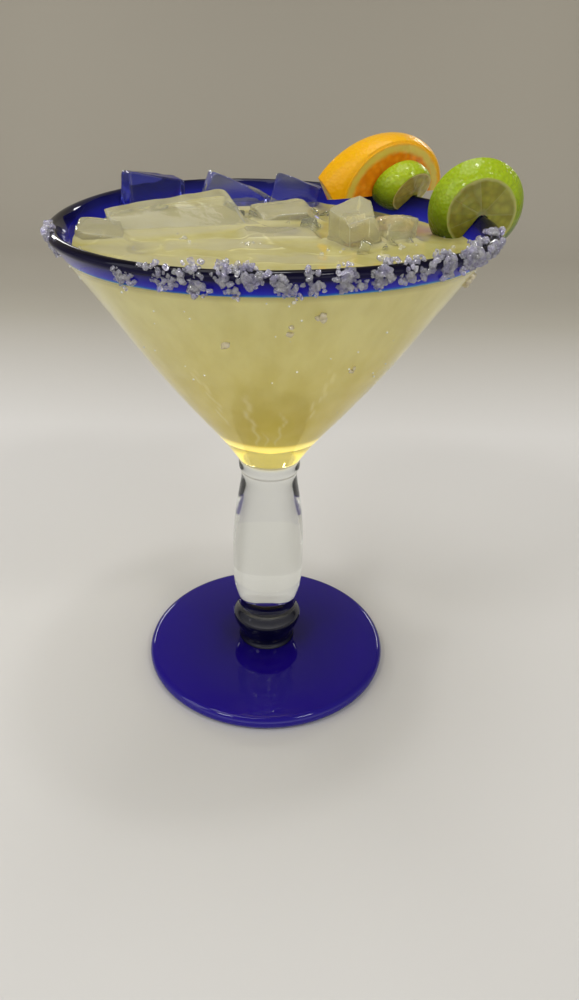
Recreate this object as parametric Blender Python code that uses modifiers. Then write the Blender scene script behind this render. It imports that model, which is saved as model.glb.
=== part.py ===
"""Margarita in a hand-blown cocktail glass: cobalt foot and salted cobalt rim, clear bowl and stem.

The origin is the centre of the foot's underside, +Z is up, and the front of the glass faces -Y.
"""
import math
import random

import bmesh
import bpy
import numpy as np
from mathutils import Matrix, Vector

# Driving sizes, in metres
SEGMENTS = 52
GAP = 0.0003
GLASS_HEIGHT = 0.184
LIP_RADIUS = 0.0729
LIP_HALF_THICKNESS = 0.0018
WALL = 0.0034
BAND_BOTTOM = 0.1764
CAVITY_BOTTOM = 0.1060
FOOT_RADIUS = 0.0507
FOOT_EDGE_HALF_THICKNESS = 0.0028
FOOT_CROWN = 0.0080
DRINK_LEVEL = 0.1765
SURFACE_SLACK = 0.0025
ABOVE_EVERYTHING = 0.225

# Outer outline of the glass as (radius, height), from the band down to the foot
BOWL_OUTLINE = ((0.0691, 0.1764), (0.0583, 0.160), (0.0455, 0.140), (0.0307, 0.120), (0.0180, 0.104),
                (0.0118, 0.0950))
STEM_OUTLINE = ((0.0118, 0.0950), (0.0118, 0.0912), (0.0109, 0.0884), (0.0130, 0.0730), (0.0143, 0.0570),
                (0.0139, 0.0370), (0.0116, 0.0262), (0.0143, 0.0200), (0.0113, 0.0112), (0.0119, 0.0083))
# Heights at which the inner wall is worked out, down to where the cavity rounds in
INNER_HEIGHTS = (0.160, 0.140, 0.120)
CAVITY_ROUNDING = (0.0170, 0.1105)

# How the blown bowl departs from round: lobes to a turn, depth in metres, direction in degrees
LOBES = ((1, 0.0011, 159), (2, 0.0007, -74), (3, 0.0028, -11))
LOBES_START = 0.140
RIM_TILT = (0.0028, 0.0065)

# Ice above the surface: name, centre, size, turn about X, Y and Z in degrees, seed
ICE = (
    ("ice_slab", (-0.0335, 0.0160, 0.1757), (0.0520, 0.0230, 0.0100), (30, -5, 30), 3),
    ("ice_plate_left", (-0.0570, -0.0030, 0.1755), (0.0150, 0.0200, 0.0090), (6, 6, 10), 5),
    ("ice_shard_tall", (-0.0450, 0.0410, 0.1780), (0.0270, 0.0070, 0.0240), (-14, 12, 44), 8),
    ("ice_shard_back", (-0.0180, 0.0540, 0.1765), (0.0250, 0.0090, 0.0200), (-8, 24, 10), 12),
    ("ice_chip_back", (0.0070, 0.0580, 0.1785), (0.0190, 0.0090, 0.0180), (-8, 12, -8), 21),
    ("ice_piece_middle", (0.0030, 0.0340, 0.1755), (0.0240, 0.0150, 0.0110), (12, -6, 18), 27),
    ("ice_cube_front", (0.0270, -0.0040, 0.1790), (0.0150, 0.0150, 0.0200), (6, -8, 32), 34),
    ("ice_cube_small", (0.0415, 0.0060, 0.1765), (0.0115, 0.0120, 0.0150), (-8, 8, 14), 55),
    ("ice_melted", (0.0020, 0.0060, 0.1740), (0.0230, 0.0150, 0.0070), (2, 3, 10), 89),
)
ICE_BEVEL = 0.0011
ICE_CORNER_SHIFT = 0.16

# Citrus slices on the rim: name, middle of the front face, radius of that face, radius of the back,
# thickness at the left and at the right, shift of the back to the left and down for each unit of depth,
# direction and lean of the face in degrees, and how far the round is turned and cut below its middle
# (None for a whole round)
CITRUS = (
    ("lime_wheel", (0.0703, 0.0075, 0.1848), 0.0124, 0.0168, (0.0072, 0.0060), (0, 0), (-84, 9), 0, None),
    ("lime_slice", (0.0508, 0.0410, 0.1861), 0.0087, 0.0098, (0.0090, 0.0065), (0.10, 0.28), (-52, 32),
     0, None),
    ("orange_slice", (0.0444, 0.0500, 0.1826), 0.0209, 0.0309, (0.0120, 0.0070), (0, 0.92), (-64, 16),
     2, -0.0012),
)
# How far the cut through a half slice drops for each unit of depth, and the plane that its lower left
# corner is cut off by, as a point and a direction in the plane of the face
HALF_CUT_SLOPE = 0.5
HALF_CORNER = (-0.0264, 0.0041)
HALF_CORNER_DIRECTION = (-0.865, -0.502)

# Clumps of salt on the band: direction in degrees, spread in degrees, grains, height above the band's foot
SALT_CLUMPS = ((203, 5, 8, 0.0048), (238, 3, 4, 0.0055), (247, 3, 4, 0.0048), (254, 4, 7, 0.0050),
               (262, 4, 7, 0.0054), (270, 4, 7, 0.0052), (279, 4, 5, 0.0040), (287, 4, 7, 0.0048),
               (296, 4, 7, 0.0050), (305, 4, 7, 0.0054), (314, 4, 7, 0.0066), (323, 4, 9, 0.0066),
               (332, 5, 9, 0.0066), (344, 5, 7, 0.0064))
SALT_RADIUS = (0.0008, 0.0014)
SALT_SPREAD = 0.0021
SALT_LOWEST = 0.0019
SALT_HIGHEST = 0.0083
SALT_SEED = 17

# Colours as red, green, blue in linear light
COBALT = (0.012, 0.010, 0.330)
CLEAR_GLASS = (0.86, 0.90, 0.88)
DRINK_YELLOW = (0.60, 0.55, 0.19)
ICE_WHITE = (0.74, 0.78, 0.66)
LIME_GREEN = (0.22, 0.42, 0.02)
ORANGE_PEEL = (0.90, 0.42, 0.01)


def clear_scene():
    """Removes what a new file holds."""
    for obj in list(bpy.data.objects):
        bpy.data.objects.remove(obj, do_unlink=True)


def new_collection(name):
    """Adds a collection to the scene."""
    collection = bpy.data.collections.new(name)
    bpy.context.scene.collection.children.link(collection)
    return collection


def material(name, colour, roughness, transmission=0.0):
    """Makes a Principled material with a colour, a roughness and a share of transmission."""
    made = bpy.data.materials.new(name)
    made.use_nodes = True
    shader = made.node_tree.nodes["Principled BSDF"]
    shader.inputs["Base Color"].default_value = (*colour, 1.0)
    shader.inputs["Roughness"].default_value = roughness
    shader.inputs["Metallic"].default_value = 0.0
    shader.inputs["Transmission Weight"].default_value = transmission
    made.diffuse_color = (*colour, 1.0)
    return made


def spline(points, steps):
    """Centripetal Catmull-Rom curve through (radius, height) points, with steps to each span."""
    given = np.array(points, float)
    padded = np.vstack([2 * given[0] - given[1], given, 2 * given[-1] - given[-2]])
    curve = [given[0]]
    for a, b, c, d in zip(padded, padded[1:], padded[2:], padded[3:]):
        t1 = math.sqrt(np.linalg.norm(b - a))
        t2 = t1 + math.sqrt(np.linalg.norm(c - b))
        t3 = t2 + math.sqrt(np.linalg.norm(d - c))
        for t in np.linspace(t1, t2, steps + 1)[1:]:
            ab = a + (b - a) * t / t1
            bc = b + (c - b) * (t - t1) / (t2 - t1)
            cd = c + (d - c) * (t - t2) / (t3 - t2)
            abc = ab + (bc - ab) * t / t2
            bcd = bc + (cd - bc) * (t - t1) / (t3 - t1)
            curve.append(abc + (bcd - abc) * (t - t1) / (t2 - t1))
    return [tuple(point) for point in curve]


def arc(centre, radius, start, end, steps):
    """Points round a circle in the profile plane, from one angle to another in degrees."""
    angles = np.radians(np.linspace(start, end, steps + 1))
    return [(centre[0] + radius * math.cos(a), centre[1] + radius * math.sin(a)) for a in angles]


def moved_out(points, distance):
    """Shifts an outline that runs downwards to its right-hand side, which is away from the axis."""
    line = np.array(points, float)
    run = np.gradient(line, axis=0)
    run /= np.linalg.norm(run, axis=1)[:, None]
    side = np.stack([-run[:, 1], run[:, 0]], axis=1)
    return [tuple(point) for point in line + side * distance]


def inner_wall():
    """Inner wall as (radius, height), from the band down to where the cavity starts to round."""
    radii = [radius for radius, _ in BOWL_OUTLINE][::-1]
    heights = [height for _, height in BOWL_OUTLINE][::-1]
    slope = (radii[-1] - radii[1]) / (heights[-1] - heights[1])
    across = WALL * math.hypot(1.0, slope)
    points = [(BOWL_OUTLINE[0][0] - across, BAND_BOTTOM)]
    for height in INNER_HEIGHTS:
        points.append((float(np.interp(height, heights, radii)) - across, height))
    return points + [CAVITY_ROUNDING]


def cavity_outline(steps):
    """Inner wall and rounded bottom, ending on the axis."""
    return spline(inner_wall() + [(0.0, CAVITY_BOTTOM)], steps)


def unevenness(point):
    """Where a point of the round glass lies in the slightly three-cornered, tilted blown one."""
    share = min(max((point.z - LOBES_START) / (GLASS_HEIGHT - LOBES_START), 0.0), 1.0)
    turn = math.atan2(point.y, point.x)
    radius = math.hypot(point.x, point.y)
    lobes = sum(depth * math.cos(count * (turn - math.radians(aim))) for count, depth, aim in LOBES)
    grown = radius + lobes * share * min(radius / LIP_RADIUS * 1.5, 1.0)
    lift = (RIM_TILT[0] * point.x + RIM_TILT[1] * point.y) * share
    return Vector((grown * math.cos(turn), grown * math.sin(turn), point.z + lift))


def mesh_object(name, mesh, collection, finish=None):
    """Puts a mesh in a named object."""
    obj = bpy.data.objects.new(name, mesh)
    collection.objects.link(obj)
    if finish is not None:
        mesh.materials.append(finish)
    return obj


def as_mesh(obj):
    """Replaces an object's mesh by its evaluated one and drops its modifiers."""
    bpy.context.view_layer.update()
    graph = bpy.context.evaluated_depsgraph_get()
    finished = bpy.data.meshes.new_from_object(obj.evaluated_get(graph))
    obj.modifiers.clear()
    obj.data = finished
    return obj


def turned(name, profile, collection, closed=False, blown=True, segments=SEGMENTS):
    """Turns a profile of (radius, height) about Z with a Screw modifier and bakes it.

    The profile runs down its outer side, and a closed one makes a ring.
    """
    points = [Vector((radius, 0.0, height)) for radius, height in profile]
    edges = [(i, i + 1) for i in range(len(points) - 1)]
    if closed:
        edges.append((len(points) - 1, 0))
    mesh = bpy.data.meshes.new(name)
    mesh.from_pydata(points, edges, [])
    obj = mesh_object(name, mesh, collection)
    screw = obj.modifiers.new("Screw", "SCREW")
    screw.axis = "Z"
    screw.steps = segments
    screw.render_steps = segments
    screw.use_merge_vertices = True
    screw.merge_threshold = 0.00001
    as_mesh(obj)
    if blown:
        for vertex in obj.data.vertices:
            vertex.co = unevenness(vertex.co)
    return obj


def boolean(obj, operation, cutters, solver="EXACT"):
    """Cuts, joins or intersects an object with every object of a list, and applies it."""
    group = bpy.data.collections.new(obj.name + "_with")
    for cutter in cutters:
        group.objects.link(cutter)
    step = obj.modifiers.new("Boolean", "BOOLEAN")
    step.operation = operation
    step.operand_type = "COLLECTION"
    step.collection = group
    step.solver = solver
    as_mesh(obj)
    bpy.data.collections.remove(group)
    return obj


def keep_largest(obj):
    """Drops loose scraps that a cut leaves beside the main body."""
    shape = bmesh.new()
    shape.from_mesh(obj.data)
    bmesh.ops.dissolve_degenerate(shape, edges=shape.edges, dist=0.00001)
    left = set(shape.verts)
    bodies = []
    while left:
        body = {left.pop()}
        edge_of_body = list(body)
        while edge_of_body:
            vertex = edge_of_body.pop()
            near = {edge.other_vert(vertex) for edge in vertex.link_edges} & left
            left -= near
            body |= near
            edge_of_body.extend(near)
        bodies.append(body)
    bodies.sort(key=len)
    for body in bodies[:-1]:
        bmesh.ops.delete(shape, geom=list(body), context="VERTS")
    shape.to_mesh(obj.data)
    shape.free()
    return obj


def smooth_shading(obj, angle=35):
    """Shades an object smooth, with edges sharper than an angle kept crisp."""
    obj.data.shade_smooth()
    obj.data.set_sharp_from_angle(angle=math.radians(angle))


def foot(part, finish):
    """Cobalt foot: a slightly domed disc with a rounded edge and a flat underside."""
    half = FOOT_EDGE_HALF_THICKNESS
    dome = [(0.016, FOOT_CROWN - 0.0001), (0.027, 0.0076), (0.038, 0.0068), (FOOT_RADIUS - half, 2 * half)]
    edge = arc((FOOT_RADIUS - half, half), half, 90, -78, 5)
    profile = [(0.0, FOOT_CROWN)] + dome[:-1] + edge + [(FOOT_RADIUS - half - 0.0006, 0.0), (0.0, 0.0)]
    obj = turned("foot", profile, part, blown=False)
    obj.data.materials.append(finish)
    smooth_shading(obj)
    return obj


def bowl_and_stem(part, finish):
    """Clear bowl and stem in one gather: cone, thick bottom, knop ring, belly, and collar on the foot."""
    cavity = cavity_outline(2)[::-1]
    outside = spline(BOWL_OUTLINE, 2) + spline(STEM_OUTLINE, 2)[1:]
    obj = turned("bowl_and_stem", cavity + outside + [(0.0, STEM_OUTLINE[-1][1])], part)
    obj.data.materials.append(finish)
    smooth_shading(obj)
    return obj


def band_outline(grown=0.0):
    """Closed profile of the cobalt band with its rounded lip, optionally grown all round."""
    half = LIP_HALF_THICKNESS + grown
    middle = (LIP_RADIUS - LIP_HALF_THICKNESS, GLASS_HEIGHT - LIP_HALF_THICKNESS)
    lip = arc(middle, half, 150, -20, 6)
    foot_height = BAND_BOTTOM + GAP
    outer = BOWL_OUTLINE[0][0] + 0.0002
    inner = inner_wall()[0][0] + 0.0002
    return lip + [(outer + grown, foot_height - grown), (inner - grown, foot_height - grown)]


def salt_grain(place, radius, draw, bits):
    """One coarse grain: a stretched icosahedron in a random pose."""
    pose = Matrix.LocRotScale(
        place,
        Vector((draw.uniform(-3, 3), draw.uniform(-3, 3), draw.uniform(-3, 3))).to_track_quat("Z", "Y"),
        Vector((draw.uniform(0.85, 1.25), draw.uniform(0.8, 1.1), draw.uniform(0.8, 1.1))) * radius,
    )
    mesh = bpy.data.meshes.new("salt_grain")
    shape = bmesh.new()
    bmesh.ops.create_icosphere(shape, subdivisions=1, radius=1.0, matrix=pose)
    shape.to_mesh(mesh)
    shape.free()
    return mesh_object("salt_grain", mesh, bits)


def salt_grains(bits):
    """Coarse grains in clumps on the band's outer face and over its lip."""
    draw = random.Random(SALT_SEED)
    outer_foot = BOWL_OUTLINE[0][0]
    grains = []
    for aim, spread, count, middle in SALT_CLUMPS:
        for _ in range(count):
            turn = math.radians(draw.gauss(aim, spread * 0.55))
            above = min(max(draw.gauss(middle, SALT_SPREAD), SALT_LOWEST), SALT_HIGHEST)
            radius = draw.uniform(*SALT_RADIUS)
            out = outer_foot + (LIP_RADIUS - outer_foot) * min(above / 0.0056, 1.0)
            over_lip = max(above - 0.0056, 0.0)
            out += 0.15 * radius - over_lip * 0.9
            spot = Vector((out * math.cos(turn), out * math.sin(turn), BAND_BOTTOM + above))
            grains.append(salt_grain(unevenness(spot), radius, draw, bits))
    return grains


def salted_rim(part, bits, finish):
    """Cobalt band with its rounded lip and the salt fused to it."""
    obj = turned("salted_rim", band_outline(), part, closed=True)
    grains = salt_grains(bits)
    boolean(obj, "UNION", grains)
    for grain in grains:
        bpy.data.objects.remove(grain, do_unlink=True)
    obj.data.materials.clear()
    obj.data.materials.append(finish)
    keep_largest(obj)
    smooth_shading(obj)
    return obj


def ice_block(name, centre, size, turn, seed, collection, grown=0.0):
    """A block of ice with knocked corners and melted edges."""
    draw = random.Random(seed)
    shape = bmesh.new()
    bmesh.ops.create_cube(shape, size=1.0)
    for vertex in shape.verts:
        jitter = [draw.uniform(-ICE_CORNER_SHIFT, ICE_CORNER_SHIFT) for _ in range(3)]
        vertex.co = Vector([c * (1 + j) * (s + 2 * grown) for c, j, s in zip(vertex.co, jitter, size)])
    bmesh.ops.bevel(shape, geom=list(shape.edges), offset=ICE_BEVEL, segments=1, affect="EDGES")
    turned_to = [math.radians(angle) for angle in turn]
    pose = Matrix.LocRotScale(Vector(centre), Matrix.Rotation(turned_to[2], 3, "Z")
                              @ Matrix.Rotation(turned_to[1], 3, "Y") @ Matrix.Rotation(turned_to[0], 3, "X"),
                              None)
    shape.transform(pose)
    bmesh.ops.triangulate(shape, faces=shape.faces)
    mesh = bpy.data.meshes.new(name)
    shape.to_mesh(mesh)
    shape.free()
    return mesh_object(name, mesh, collection)


def citrus_pose(face, aim, turn):
    """Pose whose +Z is the slice's front face, with +X level and the round turned within its plane."""
    direction, lean = (math.radians(angle) for angle in aim)
    level_share = math.cos(lean)
    front = Vector((math.cos(direction) * level_share, math.sin(direction) * level_share, -math.sin(lean)))
    level = Vector((0, 0, 1)).cross(front).normalized()
    up = front.cross(level)
    frame = Matrix((level, up, front)).transposed()
    return Matrix.Translation(Vector(face)) @ (frame @ Matrix.Rotation(math.radians(turn), 3, "Z")).to_4x4()


def citrus_slice(name, face, front_radius, back_radius, thickness, shift, aim, turn, below, collection,
                 grown=0.0):
    """A hand-cut citrus slice: the rind is the zone of a ball, and the back is cut aslant."""
    deep = max(thickness)
    front = front_radius + grown
    back = back_radius + grown
    belly = arc_between(front, back, deep + 2 * grown)
    profile = [(0.0, grown)] + belly + [(0.0, -deep - grown)]
    obj = turned(name, profile, collection, blown=False, segments=36)
    shape = bmesh.new()
    shape.from_mesh(obj.data)
    shape.normal_update()
    left, right = thickness
    slant = Vector((right - left, 0.0, 2 * back_radius)).normalized()
    cut_off(shape, Vector((0.0, 0.0, -(left + right) / 2 - grown)), -slant)
    for vertex in shape.verts:
        vertex.co.x += shift[0] * vertex.co.z
        vertex.co.y += shift[1] * vertex.co.z
    if below is not None:
        cut_off(shape, Vector((0.0, -below - grown, 0.0)), Vector((0.0, -1.0, HALF_CUT_SLOPE)).normalized())
        outwards = Vector((*HALF_CORNER_DIRECTION, 0.0))
        cut_off(shape, Vector((*HALF_CORNER, 0.0)) + outwards * grown, outwards)
    shape.transform(citrus_pose(face, aim, turn))
    shape.to_mesh(obj.data)
    shape.free()
    return obj


def arc_between(front, back, deep):
    """Rind outline from the small front face down to the wide back, on a ball about the axis."""
    offset = (back * back - front * front - deep * deep) / (2 * deep)
    ball = math.hypot(back, offset)
    top = deep + offset
    heights = np.linspace(top, offset, 5)
    return [(math.sqrt(ball * ball - h * h), h - top) for h in heights]


def cut_off(shape, point, normal):
    """Cuts away what lies beyond a plane and closes the face."""
    geometry = list(shape.verts) + list(shape.edges) + list(shape.faces)
    result = bmesh.ops.bisect_plane(shape, geom=geometry, plane_co=point, plane_no=normal, clear_outer=True,
                                    dist=0.000001)
    rim = [item for item in result["geom_cut"] if isinstance(item, bmesh.types.BMEdge)]
    bmesh.ops.holes_fill(shape, edges=rim, sides=0)
    bmesh.ops.recalc_face_normals(shape, faces=shape.faces)


def glass_clearance(cutters):
    """The bowl's wall and band, grown by the gap, which slices on the rim are slit by."""
    ring = band_outline()
    wall_out = spline(BOWL_OUTLINE, 2)[:4]
    wall_in = cavity_outline(2)[:4]
    outside = moved_out([ring[6]] + wall_out, GAP * 1.5)
    inside = moved_out([ring[0]] + wall_in, -GAP * 1.5)
    lip = band_outline(GAP * 1.5)[:7]
    return turned("glass_clearance", lip + outside[1:] + inside[1:][::-1], cutters, closed=True)


def room_inside(cutters):
    """The space inside the bowl, short of the wall by the gap, up past the lip."""
    wall = moved_out(cavity_outline(2), -GAP * 1.5)
    lip = wall[0][0] + 0.0026
    profile = [(0.0, ABOVE_EVERYTHING), (lip, ABOVE_EVERYTHING), (lip, GLASS_HEIGHT)] + wall[:-1]
    return turned("room_inside", profile + [(0.0, wall[-1][1])], cutters)


def drink(part, blocks, finish):
    """The drink up to its level, cut round the ice and the slices that dip into it."""
    wall = moved_out(cavity_outline(2), -GAP)
    top = wall[0][0] + (DRINK_LEVEL - wall[0][1]) * 0.66
    profile = [(0.0, DRINK_LEVEL), (top, DRINK_LEVEL)] + wall[1:-1] + [(0.0, wall[-1][1] + GAP)]
    obj = turned("drink", profile, part)
    for vertex in obj.data.vertices:
        if vertex.co.z > DRINK_LEVEL - SURFACE_SLACK:
            vertex.co.z = DRINK_LEVEL
    boolean(obj, "DIFFERENCE", blocks)
    obj.data.materials.clear()
    obj.data.materials.append(finish)
    keep_largest(obj)
    smooth_shading(obj, 25)
    return obj


def garnish(part, cutters, finishes):
    """Slices hung on the rim by a slit. Returns the grown copies that their neighbours are cut by."""
    clearance = glass_clearance(cutters)
    grown_slices = []
    for name, *shape in CITRUS:
        obj = citrus_slice(name, *shape, part)
        boolean(obj, "DIFFERENCE", [clearance] + grown_slices)
        obj.data.materials.clear()
        obj.data.materials.append(finishes[name.split("_")[0]])
        keep_largest(obj)
        smooth_shading(obj)
        grown_slices.append(citrus_slice(name + "_room", *shape, cutters, grown=GAP))
    return grown_slices


def ice(part, cutters, grown_slices, finish):
    """Blocks of ice at the surface, kept inside the bowl and clear of each other and the slices.

    Returns their grown copies, which the drink is cut by.
    """
    room = room_inside(cutters)
    grown_blocks = []
    for row in ICE:
        obj = ice_block(*row, part)
        boolean(obj, "INTERSECT", [room])
        boolean(obj, "DIFFERENCE", grown_blocks + grown_slices)
        obj.data.materials.clear()
        obj.data.materials.append(finish)
        keep_largest(obj)
        obj.data.shade_flat()
        name, *shape = row
        grown_blocks.append(ice_block(name + "_room", *shape, cutters, grown=GAP))
    return grown_blocks


def main():
    """Builds the glass, what is in it and what hangs on it."""
    clear_scene()
    part = new_collection("margarita_cocktail")
    cutters = new_collection("cutters")
    cobalt = material("cobalt_glass", COBALT, 0.05, 0.6)
    clear = material("clear_glass", CLEAR_GLASS, 0.03, 0.9)
    ice_finish = material("ice", ICE_WHITE, 0.08, 0.7)
    foot(part, cobalt)
    bowl_and_stem(part, clear)
    salted_rim(part, cutters, material("salted_cobalt_glass", COBALT, 0.2, 0.4))
    peels = {"lime": material("lime", LIME_GREEN, 0.4), "orange": material("orange", ORANGE_PEEL, 0.4)}
    grown_slices = garnish(part, cutters, peels)
    grown_blocks = ice(part, cutters, grown_slices, ice_finish)
    drink(part, grown_slices + grown_blocks, material("drink", DRINK_YELLOW, 0.1, 0.3))
    for cutter in cutters.objects:
        cutter.hide_render = True
        cutter.display_type = "WIRE"


main()
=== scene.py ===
"""Looks of a margarita on ice: blown glass, salt, drink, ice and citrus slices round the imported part.

Everything is in metres with +Z up and the front of the glass at -Y. Each sub-assembly is a class with its
sizes as fields and methods that work out its meshes. Shapes are grids of points computed as whole arrays.
"""

import logging
import math
import random
from dataclasses import dataclass, field
from enum import Enum

import bmesh
import bpy
import numpy as np
from mathutils import Matrix, Vector

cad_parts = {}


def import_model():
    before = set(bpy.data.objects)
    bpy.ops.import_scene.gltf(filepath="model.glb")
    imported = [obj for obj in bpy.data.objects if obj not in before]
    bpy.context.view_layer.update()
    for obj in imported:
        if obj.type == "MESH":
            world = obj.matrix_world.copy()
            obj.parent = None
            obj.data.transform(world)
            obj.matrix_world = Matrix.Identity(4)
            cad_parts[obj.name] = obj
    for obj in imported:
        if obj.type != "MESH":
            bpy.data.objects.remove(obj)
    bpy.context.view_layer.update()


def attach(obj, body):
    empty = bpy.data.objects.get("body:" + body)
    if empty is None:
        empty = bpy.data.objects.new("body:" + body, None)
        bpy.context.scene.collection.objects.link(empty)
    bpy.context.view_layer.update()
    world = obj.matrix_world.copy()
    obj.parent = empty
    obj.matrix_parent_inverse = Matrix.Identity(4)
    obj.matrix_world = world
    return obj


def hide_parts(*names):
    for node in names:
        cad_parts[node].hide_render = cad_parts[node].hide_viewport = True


LOG = logging.getLogger("margarita")
BODY = "root"

Points = np.ndarray
Faces = list[list[int]]
Input = float | str | tuple | bpy.types.Node | bpy.types.NodeSocket


class Slot(str, Enum):
    """The record's material slots."""

    COBALT = "cobalt_glass"
    CLEAR = "clear_glass"
    SALTED = "salted_cobalt_glass"
    DRINK = "drink"
    ICE = "ice"
    LIME = "lime"
    ORANGE = "orange"


def linear(hex_code: str) -> tuple[float, float, float, float]:
    """Turns an sRGB hex colour to linear light.

    Args:
        hex_code: six hex digits, such as "c8b45a".

    Returns:
        Red, green, blue and an alpha of 1.
    """
    channels = [int(hex_code[i:i + 2], 16) / 255 for i in (0, 2, 4)]
    return (*(c / 12.92 if c <= 0.04045 else ((c + 0.055) / 1.055) ** 2.4 for c in channels), 1.0)


# Meshes


def placed(name: str, data: bpy.types.ID) -> bpy.types.Object:
    """Puts a mesh, camera or light in a new object of the scene.

    Args:
        name: its name.
        data: the mesh, camera or light.

    Returns:
        The object.
    """
    obj = bpy.data.objects.new(name, data)
    bpy.context.scene.collection.objects.link(obj)
    return obj


def mesh_piece(name: str, points: Points, faces: Faces, slot: Slot, finish: bpy.types.Material,
               sharp: float = 40.0, **numbers: Points) -> bpy.types.Object:
    """Makes a smooth-shaded piece at the origin that rides on the part.

    Args:
        name: the object's name.
        points: n by 3 array in metres.
        faces: corner indices of each face, anticlockwise seen from outside.
        slot: the record's material slot for the piece; not used.
        finish: its material.
        sharp: edges that turn more than this many degrees stay crisp.
        numbers: attributes for the material, with one number for each point.

    Returns:
        The new object.
    """
    mesh = bpy.data.meshes.new(name)
    mesh.from_pydata(np.asarray(points, float).tolist(), [], faces)
    mesh.validate()
    mesh.shade_smooth()
    mesh.set_sharp_from_angle(angle=math.radians(sharp))
    mesh.materials.append(finish)
    for key, values in numbers.items():
        attribute = mesh.attributes.new(key, "FLOAT", "POINT")
        attribute.data.foreach_set("value", np.asarray(values, np.float32))
    obj = placed(name, mesh)
    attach(obj, BODY)
    LOG.info("%s: %d points, %d faces", name, len(mesh.vertices), len(mesh.polygons))
    return obj


def fade(values: Points, start: float | Points, width: float) -> Points:
    """0 up to start and then evenly up to 1 over width; with a negative width, 1 falling to 0 at start."""
    return np.clip((values - start) / width, 0, 1)


def polar(radius: Points, turn: Points, height: float | Points) -> Points:
    """Points (r cos a, r sin a, z) from radii, turns in radians and heights, row after row."""
    grid = np.broadcast_arrays(radius * np.cos(turn), radius * np.sin(turn), height)
    return np.stack(grid, axis=-1).reshape(-1, 3)


def rings(profile: Points, columns: int) -> Points:
    """Turns each point (r, z) of a profile about Z, in evenly spaced steps, row after row."""
    return polar(profile[:, :1], np.arange(columns) * 2 * np.pi / columns, profile[:, 1:])


def grid_faces(rows: int, columns: int, joined: bool = False) -> Faces:
    """Quads between rows of points that each close on themselves.

    Args:
        rows: rows of points, from outside down.
        columns: points in a row, anticlockwise.
        joined: whether the last row meets the first.

    Returns:
        The faces, row after row.
    """
    row, column = np.meshgrid(np.arange(rows if joined else rows - 1), np.arange(columns), indexing="ij")
    here, below = row * columns, (row + 1) % rows * columns
    after = (column + 1) % columns
    quads = np.stack([here + column, below + column, below + after, here + after], axis=-1)
    return quads.reshape(-1, 4).tolist()


def capped(body: Points, columns: int, first: float, last: float) -> tuple[Points, Faces]:
    """Closes rows of points by a fan to a pole on the axis at each end.

    Args:
        body: the rows, one after another.
        columns: points in a row.
        first: height of the pole before the first row.
        last: height of the pole after the last row.

    Returns:
        The points, with the poles at the end, and the faces, with the fans at the end.
    """
    points = np.vstack([body, [[0, 0, first], [0, 0, last]]])
    here = np.arange(columns)
    after = (here + 1) % columns
    end = len(body) - columns
    fans = [np.stack([np.full(columns, len(body)), here, after], axis=1),
            np.stack([np.full(columns, len(body) + 1), end + after, end + here], axis=1)]
    return points, grid_faces(len(body) // columns, columns) + np.vstack(fans).tolist()


def turned(profile: Points, columns: int) -> tuple[Points, Faces]:
    """Turns a profile whose first and last points lie on the axis into a closed surface."""
    return capped(rings(profile[1:-1], columns), columns, profile[0][1], profile[-1][1])


def turned_ring(profile: Points, columns: int) -> tuple[Points, Faces]:
    """Turns a closed profile that stays clear of the axis into a ring."""
    return rings(profile, columns), grid_faces(len(profile), columns, joined=True)


def spline(points: Points, steps: int) -> Points:
    """Centripetal Catmull-Rom curve: each span is blended twice between its four neighbours' chords.

    Args:
        points: n by 2 array that the curve goes through.
        steps: points for each span.

    Returns:
        Array of (n - 1) * steps + 1 points.
    """
    given = np.asarray(points, float)
    padded = np.vstack([2 * given[0] - given[1], given, 2 * given[-1] - given[-2]])
    curve = [given[:1]]
    for a, b, c, d in zip(padded, padded[1:], padded[2:], padded[3:]):
        t1 = math.sqrt(np.linalg.norm(b - a))
        t2 = t1 + math.sqrt(np.linalg.norm(c - b))
        t3 = t2 + math.sqrt(np.linalg.norm(d - c))
        t = np.linspace(t1, t2, steps + 1)[1:, None]
        ab = a + (b - a) * t / t1
        bc = b + (c - b) * (t - t1) / (t2 - t1)
        cd = c + (d - c) * (t - t2) / (t3 - t2)
        abc = ab + (bc - ab) * t / t2
        bcd = bc + (cd - bc) * (t - t1) / (t3 - t1)
        curve.append(abc + (bcd - abc) * (t - t1) / (t2 - t1))
    return np.vstack(curve)


def arc(centre: tuple[float, float], radius: float, start: float, end: float, steps: int) -> Points:
    """Points round a circle in the profile plane, from one angle to another in degrees."""
    angles = np.radians(np.linspace(start, end, steps + 1))
    return np.stack([centre[0] + radius * np.cos(angles), centre[1] + radius * np.sin(angles)], axis=1)


def ripple(points: Points, waves: int, longest: float, seed: int) -> Points:
    """Soft unevenness: the mean of plane sine waves of seeded directions, from -1 to 1.

    Args:
        points: n by 3 array.
        waves: how many waves are added.
        longest: the longest wavelength in metres; the shortest is a third of it.
        seed: picks the directions and phases.

    Returns:
        One value for each point.
    """
    draw = np.random.default_rng(seed)
    headings = draw.normal(size=(waves, 3))
    headings /= np.linalg.norm(headings, axis=1)[:, None]
    numbers = 2 * np.pi / (longest * draw.uniform(0.34, 1.0, waves))
    phases = draw.uniform(0, 2 * np.pi, waves)
    return np.sin(points @ (headings * numbers[:, None]).T + phases).mean(axis=1) * math.sqrt(waves) * 0.7


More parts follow.
